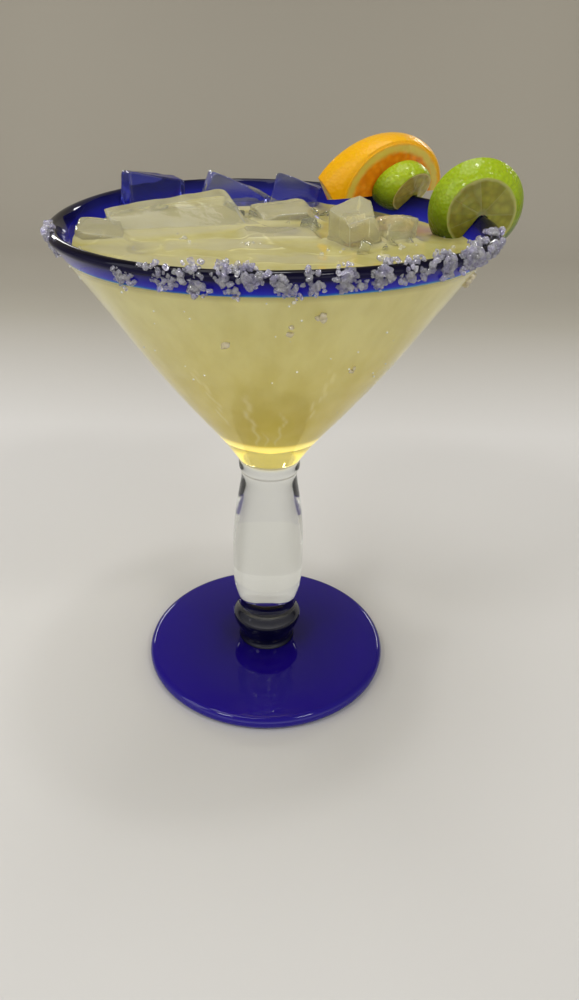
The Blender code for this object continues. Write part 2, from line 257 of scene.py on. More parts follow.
def rounded_cube(cuts: int, roundness: float) -> tuple[Points, Points, Faces]:
    """Cube from -1 to 1 with soft edges: its points are divided by the p-norm of their coordinates.

    Args:
        cuts: cuts along each edge.
        roundness: p of the norm; the higher, the crisper the edges.

    Returns:
        The plain cube's points, the rounded ones, and the faces.
    """
    shape = bmesh.new()
    bmesh.ops.create_cube(shape, size=2.0)
    bmesh.ops.subdivide_edges(shape, edges=shape.edges, cuts=cuts, use_grid_fill=True)
    cube = np.array([v.co for v in shape.verts])
    faces = [[v.index for v in f.verts] for f in shape.faces]
    shape.free()
    cube = np.sign(cube) * np.sin(np.abs(cube) * np.pi / 2 * 0.96) / math.sin(np.pi / 2 * 0.96)
    norm = (np.abs(cube) ** roundness).sum(1) ** (1 / roundness)
    return cube, cube / norm[:, None], faces


def scattered(shape: Points, faces: Faces, places: Points, sizes: Points,
              draw: np.random.Generator, shear: float) -> tuple[Points, Faces]:
    """Copies a small shape to each place, sheared, sized and turned at random.

    Args:
        shape: points of the shape, about 1 in radius.
        faces: its faces.
        places: where the copies go.
        sizes: radius of each copy.
        draw: the random generator.
        shear: how far the copies depart from the shape.

    Returns:
        Points and faces of all copies.
    """
    many = len(places)
    skew = np.eye(3) + draw.uniform(-shear, shear, (many, 3, 3))
    turn, _ = np.linalg.qr(draw.normal(size=(many, 3, 3)))
    turn *= np.sign(np.linalg.det(turn))[:, None, None]
    points = np.einsum("nij,njk,mk->nmi", turn, skew, shape) * sizes[:, None, None] + places[:, None]
    corners = np.array(faces)[None] + len(shape) * np.arange(many)[:, None, None]
    return points.reshape(-1, 3), corners.reshape(-1, corners.shape[2]).tolist()


def cut_with(obj: bpy.types.Object, cutter: bpy.types.Object) -> None:
    """Cuts a piece by another mesh, applies it and removes the cutter.

    Args:
        obj: the piece.
        cutter: object whose mesh is taken out of it.
    """
    step = obj.modifiers.new("Cut", "BOOLEAN")
    step.operation = "DIFFERENCE"
    step.object = cutter
    step.solver = "EXACT"
    bpy.context.view_layer.update()
    finished = bpy.data.meshes.new_from_object(obj.evaluated_get(bpy.context.evaluated_depsgraph_get()))
    obj.modifiers.clear()
    obj.data = finished
    bpy.data.objects.remove(cutter, do_unlink=True)


# Finishes


class Nodes:
    """The nodes of a material or a world, with its main shader at hand."""

    def __init__(self, owner: bpy.types.Material | bpy.types.World, shader: str = "Principled BSDF") -> None:
        """Turns the nodes on.

        Args:
            owner: the material or world.
            shader: name of its main shader.
        """
        owner.use_nodes = True
        self.owner = owner
        self.tree = owner.node_tree
        self.shader = self.tree.nodes[shader]

    def put(self, socket: bpy.types.NodeSocket, value: Input) -> None:
        """Fills a socket.

        Args:
            socket: the socket.
            value: a number, a vector, a hex colour, another socket, or a node for its first output in use.
        """
        if isinstance(value, bpy.types.Node):
            value = next(output for output in value.outputs if output.enabled)
        if isinstance(value, bpy.types.NodeSocket):
            self.tree.links.new(value, socket)
        else:
            socket.default_value = linear(value) if isinstance(value, str) else value

    def add(self, kind: str, *inputs: Input, stops: tuple = (), **settings: object) -> bpy.types.Node:
        """Adds a node with its settings and links.

        Args:
            kind: the node's type without "ShaderNode", such as "Math".
            inputs: what fills the sockets in use, in their order.
            stops: places and hex colours along a colour ramp.
            settings: the node's properties by name, and further sockets by name.

        Returns:
            The node.
        """
        node = self.tree.nodes.new("ShaderNode" + kind)
        for key, value in settings.items():
            if hasattr(node, key):
                setattr(node, key, value)
            else:
                self.put(node.inputs[key], value)
        for socket, value in zip([socket for socket in node.inputs if socket.enabled], inputs):
            self.put(socket, value)
        for _ in stops[2:]:
            node.color_ramp.elements.new(0.5)
        for index, (place, colour) in enumerate(stops):
            node.color_ramp.elements[index].position = place
            node.color_ramp.elements[index].color = linear(colour)
        return node

    def shade(self, **sockets: Input) -> bpy.types.Material | bpy.types.World:
        """Fills the shader's sockets, each named with underscores for its spaces, and returns the owner.

        Args:
            sockets: numbers, vectors, hex colours, sockets or nodes by socket name.

        Returns:
            The material or world.
        """
        for key, value in sockets.items():
            self.put(self.shader.inputs[key.replace("_", " ")], value)
        return self.owner


@dataclass(frozen=True)
class ClearGlass:
    """Hand-blown soda-lime glass: clear and a little wavy, misted where the bowl is cold.

    Its solid bottom is painted with the drink's yellow and a little emission, painted light that stands for
    the daylight that the drink sends down into it. Towards the collar it is painted dark cobalt, for the foot
    seen through it.
    """

    name: str = "blown_soda_lime_glass"
    tint: str = "f6f8f5"
    # painted light: the drink's yellow glowing in the glass's solid bottom
    painted_drink_glow_tone: str = "fdf3b4"
    lit: str = "fdec70"
    lit_strength: float = 0.16
    # painted: the dark cobalt foot seen through the clear glass towards the collar
    painted_foot_seen_through: str = "0b0d26"
    ior: float = 1.5
    wave: float = 0.009
    mist_patch: float = 0.016
    # a real dew spot is about 0.2 mm, too fine to show, so it is drawn coarser
    mist_spot: float = 0.0011

    def make(self) -> bpy.types.Material:
        """Builds the material from three attributes of the mesh: dew, glow and cobalt.

        Returns:
            The material.
        """
        nodes = Nodes(bpy.data.materials.new(self.name))
        place = nodes.add("TexCoord").outputs["Object"]
        dew, glow, cobalt = (nodes.add("Attribute", attribute_name=name).outputs["Fac"]
                             for name in ("dew", "glow", "cobalt"))
        # painted light: beside the drink the clear tint turns to the drink's yellow
        clear = nodes.add("Mix", glow, self.tint, self.painted_drink_glow_tone, data_type="RGBA")
        patches = nodes.add("Math", dew, nodes.add("TexNoise", place, 1 / self.mist_patch, 2.0),
                            operation="MULTIPLY")
        mist = nodes.add("Math", patches, nodes.add("TexNoise", place, 1 / self.mist_spot, 3.0),
                         operation="MULTIPLY")
        waves = nodes.add("TexNoise", place, 1 / self.wave, 1.0)
        # towards the collar the base colour is painted dark, for the foot seen through it
        return nodes.shade(
            Base_Color=nodes.add("Mix", cobalt, clear, self.painted_foot_seen_through, data_type="RGBA"),
            Transmission_Weight=1.0,
            IOR=self.ior,
            Roughness=nodes.add("Math", mist, 0.50, 0.012, operation="MULTIPLY_ADD"),
            Normal=nodes.add("Bump", Strength=0.35, Distance=0.00012, Height=waves),
            Emission_Color=self.lit,
            Emission_Strength=nodes.add("Math", glow, self.lit_strength, operation="MULTIPLY"))


@dataclass(frozen=True)
class PaintedDarkCollar:
    """Collar where the clear stem was stuck to the foot: painted nearly black, for the cobalt foot seen
    through it.
    """

    name: str = "collar_painted_dark"
    tone: str = "060720"

    def make(self) -> bpy.types.Material:
        """Builds the material: glass painted dark, for the foot seen through it, with a soft shine.

        Returns:
            The material.
        """
        nodes = Nodes(bpy.data.materials.new(self.name))
        return nodes.shade(Base_Color=self.tone, Transmission_Weight=0.35, IOR=1.5, Roughness=0.03,
                           Specular_IOR_Level=0.35)


@dataclass(frozen=True)
class CobaltFoot:
    """Cobalt-blue glass, pressed into a thick foot: deep violet-blue, clearer at the thin edge."""

    name: str = "cobalt_glass_foot"
    middle: str = "100850"
    deep: str = "180578"
    bright: str = "1c0486"
    thin: str = "1a0682"
    radius: float = 0.0507
    cloud: float = 0.030
    wave: float = 0.014

    def make(self) -> bpy.types.Material:
        """Builds the material: colour by distance from the axis, since the foot thins towards its edge.

        Returns:
            The material.
        """
        nodes = Nodes(bpy.data.materials.new(self.name))
        place = nodes.add("TexCoord").outputs["Object"]
        flat = nodes.add("VectorMath", place, (1, 1, 0), operation="MULTIPLY")
        share = nodes.add("Math", nodes.add("VectorMath", flat, operation="LENGTH"), 1 / self.radius,
                          operation="MULTIPLY")
        clouds = nodes.add("Math", nodes.add("TexNoise", place, 1 / self.cloud, 2.0), 0.30, -0.15,
                           operation="MULTIPLY_ADD")
        tone = nodes.add("ValToRGB", nodes.add("Math", share, clouds, operation="ADD"), stops=(
            (0.10, self.middle), (0.45, self.deep), (0.90, self.bright), (1.0, self.thin)))
        waves = nodes.add("TexNoise", place, 1 / self.wave, 1.0)
        return nodes.shade(Base_Color=tone, Transmission_Weight=0.14, IOR=1.52, Roughness=0.05,
                           Specular_IOR_Level=0.30,
                           Normal=nodes.add("Bump", Strength=0.5, Distance=0.00015, Height=waves))


@dataclass(frozen=True)
class CobaltRim:
    """Cobalt glass trailed round the lip: nearly black where thick, cyan where it thins into the wall."""

    name: str = "cobalt_glass_rim"
    wander: float = 0.012
    outside: tuple = ((0.0, "5a94ac"), (0.05, "1f5cb0"), (0.12, "1a26b4"), (0.28, "140c9c"), (0.50, "0f0878"),
                      (0.66, "090532"), (1.0, "05030f"))
    inside: tuple = ((0.0, "343b8c"), (0.55, "2a2f90"), (0.86, "1e2070"), (1.0, "0e0c38"))

    def make(self) -> bpy.types.Material:
        """Builds the material: colour by height in the band, brighter inside where light comes through.

        Returns:
            The material.
        """
        nodes = Nodes(bpy.data.materials.new(self.name))
        place = nodes.add("TexCoord").outputs["Object"]
        band, inside = (nodes.add("Attribute", attribute_name=name).outputs["Fac"]
                        for name in ("band", "inside"))
        uneven = nodes.add("Math", nodes.add("TexNoise", place, 1 / self.wander, 2.0), 0.14, -0.07,
                           operation="MULTIPLY_ADD")
        height = nodes.add("Math", band, uneven, operation="ADD")
        tone = nodes.add("Mix", inside, nodes.add("ValToRGB", height, stops=self.outside),
                         nodes.add("ValToRGB", height, stops=self.inside), data_type="RGBA")
        return nodes.shade(Base_Color=tone, Transmission_Weight=0.10, IOR=1.52, Roughness=0.04,
                           Specular_IOR_Level=0.10)


@dataclass(frozen=True)
class CoarseSalt:
    """Coarse salt: half-clear crystals with white flaws, greyed by a painted view of the blue glass behind.
    """

    name: str = "coarse_salt"
    white: str = "fdfcff"
    # painted: the greyer tone of the blue glass seen through the crystals
    shade: str = "d6d2ee"
    transmission: float = 0.80
    crystal: float = 0.0024
    flaw: float = 0.0006

    def make(self) -> bpy.types.Material:
        """Builds the material: whiteness varies over crystals by noise of a crystal's size.

        Returns:
            The material.
        """
        nodes = Nodes(bpy.data.materials.new(self.name))
        place = nodes.add("TexCoord").outputs["Object"]
        tone = nodes.add("ValToRGB", nodes.add("TexNoise", place, 1 / self.crystal, 2.0),
                         stops=((0.38, self.shade), (0.60, self.white)))
        flaws = nodes.add("TexNoise", place, 1 / self.flaw, 2.0)
        return nodes.shade(Base_Color=tone, Roughness=0.08, IOR=1.54, Transmission_Weight=self.transmission,
                           Normal=nodes.add("Bump", Strength=0.6, Distance=0.0001, Height=flaws))


@dataclass(frozen=True)
class CloudyDrink:
    """Lime juice, orange liqueur and tequila: a cloudy khaki yellow that scatters light, with a glossy top.

    A little emission through the sides, and more at the very bottom, stands for the daylight that falls into
    the drink, scatters all the way through it and lights up the solid glass below.
    """

    name: str = "cloudy_margarita"
    # painted: the greyer tone of sunken ice seen through the surface
    painted_sunken_ice_tone: str = "b4ae90"
    # painted reflection of the orange slice on the surface
    blush: str = "c79a62"
    surface: str = "b8af6c"
    # painted highlights: glints round sunken ice on the surface, and bright stripes of light down the side
    bright_line: str = "eee6ae"
    painted_light_stripe_tone: str = "fbf0b8"
    gathered: str = "ffec80"
    side_strength: float = 0.13
    bottom_strength: float = 0.62
    bottom: float = 0.106
    depth: float = 0.0705
    layer: float = 0.030
    pulp: float = 0.0075
    cloud: float = 0.010

    def make(self) -> bpy.types.Material:
        """Builds the material: golden low in the bowl, paler above; on top, painted light: greyer over sunken
        ice seen through it, glints and the orange's reflection; down the side, painted bright stripes of
        light.

        Returns:
            The material.
        """
        nodes = Nodes(bpy.data.materials.new(self.name))
        place = nodes.add("TexCoord").outputs["Object"]
        on_top, ice_below, blush, line, bottom = (
            nodes.add("Attribute", attribute_name=name).outputs["Fac"]
            for name in ("surface", "ice_below", "blush", "line", "bottom"))
        split = nodes.add("SeparateXYZ", place)
        height = nodes.add("Math", split.outputs[2], 1 / self.depth, -self.bottom / self.depth,
                           operation="MULTIPLY_ADD")
        warm = nodes.add("Math", split.outputs[0], -2.2, operation="MULTIPLY")
        layers = nodes.add("Math", nodes.add("TexNoise", place, 1 / self.layer, 3.0), 0.50, -0.25,
                           operation="MULTIPLY_ADD")
        level = nodes.add("Math", nodes.add("Math", height, layers, operation="ADD"), warm, operation="ADD")
        deep = nodes.add("ValToRGB", level, stops=(
            (0.0, "f4e070"), (0.22, "e8d462"), (0.50, "e4d67e"), (0.75, "e6dd9a"), (1.0, "e9e3a8")))
        tall = nodes.add("Mapping", place, Scale=(1, 1, 6), vector_type="TEXTURE")
        pulp = nodes.add("ValToRGB", nodes.add("TexNoise", tall, 1 / self.pulp, 3.0),
                         stops=((0.35, "b9a44e"), (0.65, "efe6b4")))
        # painted light: bright stripes down the side
        side = nodes.add("Mix", line, nodes.add("Mix", 0.20, deep, pulp, data_type="RGBA"), self.painted_light_stripe_tone,
                         data_type="RGBA")
        clouds = nodes.add("ValToRGB", nodes.add("TexNoise", place, 1 / self.cloud, 3.0),
                           stops=((0.36, "a79e58"), (0.64, "c2ba80")))
        top = nodes.add("Mix", 0.5, self.surface, clouds, data_type="RGBA")
        # painted on the top: sunken ice seen through it, the orange slice's reflection and glints round the
        # ice
        for share, tone in ((ice_below, self.painted_sunken_ice_tone), (blush, self.blush), (line, self.bright_line)):
            top = nodes.add("Mix", share, top, tone, data_type="RGBA")
        sides = nodes.add("Math", nodes.add("Math", 1.0, on_top, operation="SUBTRACT"), self.side_strength,
                          operation="MULTIPLY")
        light = nodes.add("Math", bottom, self.bottom_strength, sides, operation="MULTIPLY_ADD")
        return nodes.shade(
            Base_Color=nodes.add("Mix", on_top, side, top, data_type="RGBA"),
            Roughness=0.05,
            IOR=1.35,
            Subsurface_Weight=0.30,
            Subsurface_Scale=0.004,
            Subsurface_Radius=(1.0, 0.9, 0.4),
            Emission_Color=self.gathered,
            Emission_Strength=light)


@dataclass(frozen=True)
class WetIce:
    """Bar ice, wet and half melted, with edges painted white as highlights; near the rim, a painted view of
    the cobalt band through it tints it blue.
    """

    name: str
    clear: str
    milky: str
    transmission: float
    # painted highlight: the lighter tone of the block's edges
    edge: str = "f6f5ea"
    # painted: the cobalt band seen through the ice near the rim
    cobalt: str = "2f3cd0"
    cloud: float = 0.008
    dimple: float = 0.0035

    def make(self) -> bpy.types.Material:
        """Builds the material: milky clouds and shallow melt dimples.

        Returns:
            The material.
        """
        nodes = Nodes(bpy.data.materials.new(self.name))
        place = nodes.add("TexCoord").outputs["Object"]
        near_rim, edge = (nodes.add("Attribute", attribute_name=name).outputs["Fac"]
                          for name in ("near_rim", "edge"))
        body = nodes.add("ValToRGB", nodes.add("TexNoise", place, 1 / self.cloud, 3.0),
                         stops=((0.38, self.milky), (0.64, self.clear)))
        # painted: the band's blue seen through the ice near the rim
        body = nodes.add("Mix", near_rim, body, self.cobalt, data_type="RGBA")
        dimples = nodes.add("TexNoise", place, 1 / self.dimple, 2.0)
        # painted highlights: the edges lightened towards white
        return nodes.shade(Base_Color=nodes.add("Mix", edge, body, self.edge, data_type="RGBA"),
                           Transmission_Weight=self.transmission, IOR=1.31, Roughness=0.035,
                           Normal=nodes.add("Bump", Strength=0.35, Distance=0.0004, Height=dimples))


CLEAR_ICE = WetIce("clear_wet_ice", "f6f8f6", "eceee8", 0.94)
CLOUDY_ICE = WetIce("cloudy_wet_ice", "eae6c8", "dfdab4", 0.72)


@dataclass(frozen=True)
class Film:
    """Thin clear film of a bubble, or a drop of water, on the drink and the glass."""

    name: str
    transmission: float

    def make(self) -> bpy.types.Material:
        """Builds the material: water, partly white where its glints are too fine to show.

        Returns:
            The material.
        """
        nodes = Nodes(bpy.data.materials.new(self.name))
        return nodes.shade(Base_Color="fdfcf2", Transmission_Weight=self.transmission, IOR=1.33,
                           Roughness=0.01)


@dataclass(frozen=True)
class Rind:
    """Citrus zest: waxy, with oil glands that dimple it about every millimetre."""

    name: str
    # bright, shade and low are the zest lit on top, in shade and lowest: painted light and shade
    bright: str
    shade: str
    low: str
    gland: float = 0.0013
    relief: float = 1.0
    gloss: float = 0.3
    blotch: float = 0.009

    def make(self, slice_frame: "SliceFrame") -> bpy.types.Material:
        """Builds the material: painted light and shade, brighter on top and darker at the sides, and dimpled
        all over.

        Args:
            slice_frame: where the slice stands.

        Returns:
            The material.
        """
        nodes = Nodes(bpy.data.materials.new(self.name))
        world = nodes.add("TexCoord").outputs["Object"]
        place = nodes.add("Mapping", world, slice_frame.origin, slice_frame.euler(), vector_type="TEXTURE")
        # painted light and shade: tone by height in the slice's own frame
        up = nodes.add("Math", nodes.add("SeparateXYZ", place).outputs[1], 0.5 / slice_frame.radius, 0.5,
                       operation="MULTIPLY_ADD")
        blotches = nodes.add("Math", nodes.add("TexNoise", place, 1 / self.blotch, 3.0), 0.5, -0.25,
                             operation="MULTIPLY_ADD")
        tone = nodes.add("ValToRGB", nodes.add("Math", up, blotches, operation="ADD"),
                         stops=((0.10, self.low), (0.45, self.shade), (0.82, self.bright)))
        glands = nodes.add("TexVoronoi", world, 1 / self.gland, feature="SMOOTH_F1", Smoothness=0.6)
        return nodes.shade(Base_Color=tone, Roughness=0.30, IOR=1.45, Specular_IOR_Level=0.2,
                           Coat_Weight=self.gloss, Coat_Roughness=0.06, Subsurface_Weight=0.08,
                           Subsurface_Scale=0.001,
                           Normal=nodes.add("Bump", Strength=self.relief, Distance=0.00040, Height=glands))


@dataclass(frozen=True)
class CutFace:
    """The cut face of a citrus slice: zest line, pith ring, flesh in segments, and a pale core."""

    name: str
    zest: str
    pith: str
    flesh: str
    flesh_dark: str
    core: str
    segments: int
    pith_from: float
    wall: float
    uneven: float
    pith_steep: float = 14.0
    zest_from: float = 0.93
    zest_steep: float = 16.0
    vesicle: float = 0.0024
    wobble: float = 0.004

    def make(self, slice_frame: "SliceFrame") -> bpy.types.Material:
        """Builds the material in the slice's own frame: by distance from the middle and angle round it.

        Args:
            slice_frame: where the slice stands.

        Returns:
            The material.
        """
        nodes = Nodes(bpy.data.materials.new(self.name))
        world = nodes.add("TexCoord").outputs["Object"]
        place = nodes.add("Mapping", world, slice_frame.origin, slice_frame.euler(), vector_type="TEXTURE")
        depth = nodes.add("SeparateXYZ", place).outputs[2]
        unsheared = (-slice_frame.shift[0], -slice_frame.shift[1], -1)
        across = nodes.add("VectorMath", depth, unsheared, place, operation="MULTIPLY_ADD")
        grown = nodes.add("Math", depth, -slice_frame.flare, slice_frame.radius, operation="MULTIPLY_ADD")
        share = nodes.add("Math", nodes.add("VectorMath", across, operation="LENGTH"), grown,
                          operation="DIVIDE")
        wobble = nodes.add("Math", nodes.add("TexNoise", place, 1 / self.wobble, 2.0), 0.10, -0.05,
                           operation="MULTIPLY_ADD")
        share = nodes.add("Math", share, wobble, operation="ADD")
        split = nodes.add("SeparateXYZ", across)
        turn = nodes.add("Math", nodes.add("Math", split.outputs[1], split.outputs[0], operation="ARCTAN2"),
                         self.segments / (2 * math.pi), operation="MULTIPLY")
        each = nodes.add("TexWhiteNoise", nodes.add("Math", turn, operation="FLOOR"), noise_dimensions="1D")
        # a membrane keeps its width, so it takes up more of a turn towards the middle
        width = nodes.add("Math", self.wall, nodes.add("Math", share, 0.05, operation="MAXIMUM"),
                          operation="DIVIDE")
        gap = nodes.add("Math", nodes.add("Math", turn, 0.5, operation="PINGPONG"), width,
                        operation="DIVIDE")
        membrane = nodes.add("Math", 1.0, nodes.add("Math", gap, 1.0, operation="MINIMUM"),
                             operation="SUBTRACT")
        vesicles = nodes.add("TexVoronoi", place, 1 / self.vesicle, feature="SMOOTH_F1", Smoothness=0.4)
        flesh = nodes.add("ValToRGB", vesicles, stops=((0.15, self.flesh), (0.75, self.flesh_dark)))
        for pale, most in ((each, self.uneven), (membrane, 0.30)):
            flesh = nodes.add("Mix", nodes.add("Math", pale, most, operation="MULTIPLY"), flesh, self.core,
                              data_type="RGBA")
        from_core = nodes.add("Math", nodes.add("Math", share, 5.5, operation="MULTIPLY"), 1.0, 0.2,
                              operation="SMOOTH_MIN")
        tone = nodes.add("Mix", from_core, self.core, flesh, data_type="RGBA")
        for start, steep, outer in ((self.pith_from, self.pith_steep, self.pith),
                                    (self.zest_from, self.zest_steep, self.zest)):
            past = nodes.add("Math", share, steep, -start * steep, operation="MULTIPLY_ADD")
            tone = nodes.add("Mix", nodes.add("Clamp", past), tone, outer, data_type="RGBA")
        return nodes.shade(Base_Color=tone, Roughness=0.24, IOR=1.36, Subsurface_Weight=0.35,
                           Subsurface_Scale=0.003, Coat_Weight=0.1, Coat_Roughness=0.08,
                           Normal=nodes.add("Bump", Strength=0.6, Distance=0.00035, Height=vesicles))


# The glass


@dataclass
class BlownGlass:
    """Cocktail glass: cobalt foot, clear stem and bowl, cobalt band round the lip."""

    collar_top: float = 0.0238
    height: float = 0.184
    lip_radius: float = 0.0729
    lip_half: float = 0.0018
    wall: float = 0.0034
    band_bottom: float = 0.1764
    cavity_bottom: float = 0.1060
    foot_radius: float = 0.0507
    foot_half: float = 0.0028
    foot_crown: float = 0.0080
    dew_from: float = 0.108
    glow_from: float = 0.0940
    glow_to: float = 0.1085
    # height below which the stem is painted dark, for the cobalt foot seen through it
    painted_foot_to: float = 0.0262
    columns: int = 224
    bowl: tuple = ((0.0691, 0.1764), (0.0583, 0.160), (0.0455, 0.140), (0.0307, 0.120), (0.0180, 0.104),
                   (0.0118, 0.0950))
    stem: tuple = ((0.0118, 0.0950), (0.0118, 0.0912), (0.0109, 0.0884), (0.0130, 0.0730), (0.0143, 0.0570),
                   (0.0139, 0.0370), (0.0116, 0.0262), (0.0143, 0.0200), (0.0113, 0.0112), (0.0119, 0.0083))
    inner_heights: tuple = (0.160, 0.140, 0.120)
    cavity_rounding: tuple = (0.0170, 0.1105)
    lobes: tuple = ((1, 0.0011, 159), (2, 0.0007, -74), (3, 0.0028, -11))
    lobes_start: float = 0.140
    slope_kept: float = 0.66
    tilt: tuple = (0.0028, 0.0065)

    def blown(self, points: Points) -> Points:
        """Moves points of a round glass to the slightly three-cornered, tilted blown one.

        The radius grows by a sum of cosines of the turn, and the height by a tilted plane, both from nothing
        at lobes_start to full at the lip.

        Args:
            points: n by 3 array of the round glass.

        Returns:
            The moved points.
        """
        x, y, z = points.T
        share = fade(z, self.lobes_start, self.height - self.lobes_start)
        turn = np.arctan2(y, x)
        radius = np.hypot(x, y)
        grown = sum(depth * np.cos(count * (turn - math.radians(aim))) for count, depth, aim in self.lobes)
        out = radius + grown * share * np.minimum(radius / self.lip_radius * 1.5, 1)
        lift = (self.tilt[0] * x + self.tilt[1] * y) * share
        return polar(out, turn, z + lift)

    def inner_wall(self) -> Points:
        """Inner wall as (radius, height), from the band down to where the cavity starts to round.

        Returns:
            Array of points (r, z).
        """
        radii = np.array([r for r, _ in self.bowl])[::-1]
        heights = np.array([h for _, h in self.bowl])[::-1]
        slope = (radii[-1] - radii[1]) / (heights[-1] - heights[1])
        across = self.wall * math.hypot(1, slope)
        points = [(self.bowl[0][0] - across, self.band_bottom)]
        points += [(float(np.interp(h, heights, radii)) - across, h) for h in self.inner_heights]
        return np.array(points + [self.cavity_rounding])

    def cavity(self, steps: int) -> Points:
        """Inner wall and rounded bottom, ending on the axis."""
        return spline(np.vstack([self.inner_wall(), [[0, self.cavity_bottom]]]), steps)

    def inner_radius(self, height: Points) -> Points:
        """Radius of the round inner wall at given heights, carried on a little steeper above the band's foot.

        Args:
            height: heights in metres.

        Returns:
            One radius for each height.
        """
        wall = self.cavity(12)[::-1]
        rise = (wall[-1, 0] - wall[-8, 0]) / (wall[-1, 1] - wall[-8, 1])
        above = np.maximum(height - wall[-1, 1], 0)
        return np.interp(height, wall[:, 1], wall[:, 0]) + above * rise * self.slope_kept

    def band_profile(self, grown: float = 0.0, steps: int = 12) -> Points:
        """Closed profile of the cobalt band with its rounded lip, optionally grown all round.

        Args:
            grown: how far it is grown.
            steps: steps round the lip.

        Returns:
            Array of points (r, z).
        """
        middle = (self.lip_radius - self.lip_half, self.height - self.lip_half)
        lip = arc(middle, self.lip_half + grown, 150, -20, steps)
        foot = self.band_bottom + 0.00002 - grown
        outer = np.array([self.bowl[0][0] + grown, foot])
        inner = np.array([self.inner_wall()[0][0] - grown, foot])
        down = lip[-1] + (outer - lip[-1]) * np.linspace(0, 1, 9)[1:, None]
        across = outer + (inner - outer) * np.linspace(0, 1, 4)[1:, None]
        up = inner + (lip[0] - inner) * np.linspace(0, 1, 9)[1:-1, None]
        return np.vstack([lip, down, across, up])

    def build(self) -> list[bpy.types.Object]:
        """Makes the foot, the clear bowl with its stem, and the band."""
        return [self.make_foot(), self.make_bowl(), self.make_band()]

    def make_foot(self) -> bpy.types.Object:
        """Domed disc with a rounded edge and a flat underside.

        Returns:
            The piece.
        """
        half = self.foot_half
        dome = spline(np.array([(0.0, self.foot_crown), (0.016, self.foot_crown - 0.0001), (0.027, 0.0076),
                                (0.038, 0.0068), (self.foot_radius - half, 2 * half)]), 6)
        edge = arc((self.foot_radius - half, half), half, 90, -90, 14)
        under = np.array([(0.030, 0.0), (0.0, 0.0)])
        points, faces = turned(np.vstack([dome[:-1], edge, under]), 160)
        obj = mesh_piece("glass_foot", points, faces, Slot.COBALT, CobaltFoot().make())
        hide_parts("foot")
        return obj

    def make_bowl(self) -> bpy.types.Object:
        """Cone, thick bottom, knop ring, belly and collar in one turned surface round the cavity.

        Returns:
            The piece.
        """
        cavity = self.cavity(9)[::-1]
        outside = np.vstack([spline(np.array(self.bowl), 9), spline(np.array(self.stem), 9)[1:]])
        lid = cavity[-1] + (outside[0] - cavity[-1]) * np.linspace(0, 1, 4)[1:-1, None]
        points, faces = turned(np.vstack([cavity, lid, outside, [[0, self.stem[-1][1]]]]), self.columns)
        points = self.blown(points)
        height = points[:, 2]
        obj = mesh_piece(
            "glass_bowl_and_stem", points, faces, Slot.CLEAR, ClearGlass().make(),
            dew=fade(height, self.dew_from, 0.02) * fade(height, self.band_bottom + 0.004, -0.01),
            glow=fade(height, self.glow_from, 0.0015) * fade(height, self.glow_to, -0.003),
            # painted dark near the collar, for the cobalt foot seen through the glass
            cobalt=fade(height, self.painted_foot_to, -0.0025))
        # the collar gets a glass painted nearly black, for the foot seen through it
        obj.data.materials.append(PaintedDarkCollar().make())
        centres = np.zeros(len(obj.data.polygons) * 3)
        obj.data.polygons.foreach_get("center", centres)
        below = (centres.reshape(-1, 3)[:, 2] < self.collar_top).astype(np.int32)
        obj.data.polygons.foreach_set("material_index", below)
        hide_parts("bowl_and_stem")
        return obj

    def make_band(self) -> bpy.types.Object:
        """Cobalt band from the wall's top up over the lip.

        Returns:
            The piece.
        """
        points, faces = turned_ring(self.band_profile(), self.columns)
        middle = self.lip_radius - self.lip_half * 1.6
        leaning = middle - (self.height - points[:, 2]) * 0.62
        inner = fade(leaning, np.hypot(points[:, 0], points[:, 1]), 0.001)
        # the inside tones, brighter for light that comes through, are painted on the inner face and in part
        # on the back half: painted light
        obj = mesh_piece(
            "glass_rim", self.blown(points), faces, Slot.SALTED, CobaltRim().make(),
            band=fade(points[:, 2], self.band_bottom, self.height - self.band_bottom),
            inside=np.maximum(inner, 0.45 * fade(points[:, 1], -0.005, 0.030)))
        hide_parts("salted_rim")
        return obj


# Salt


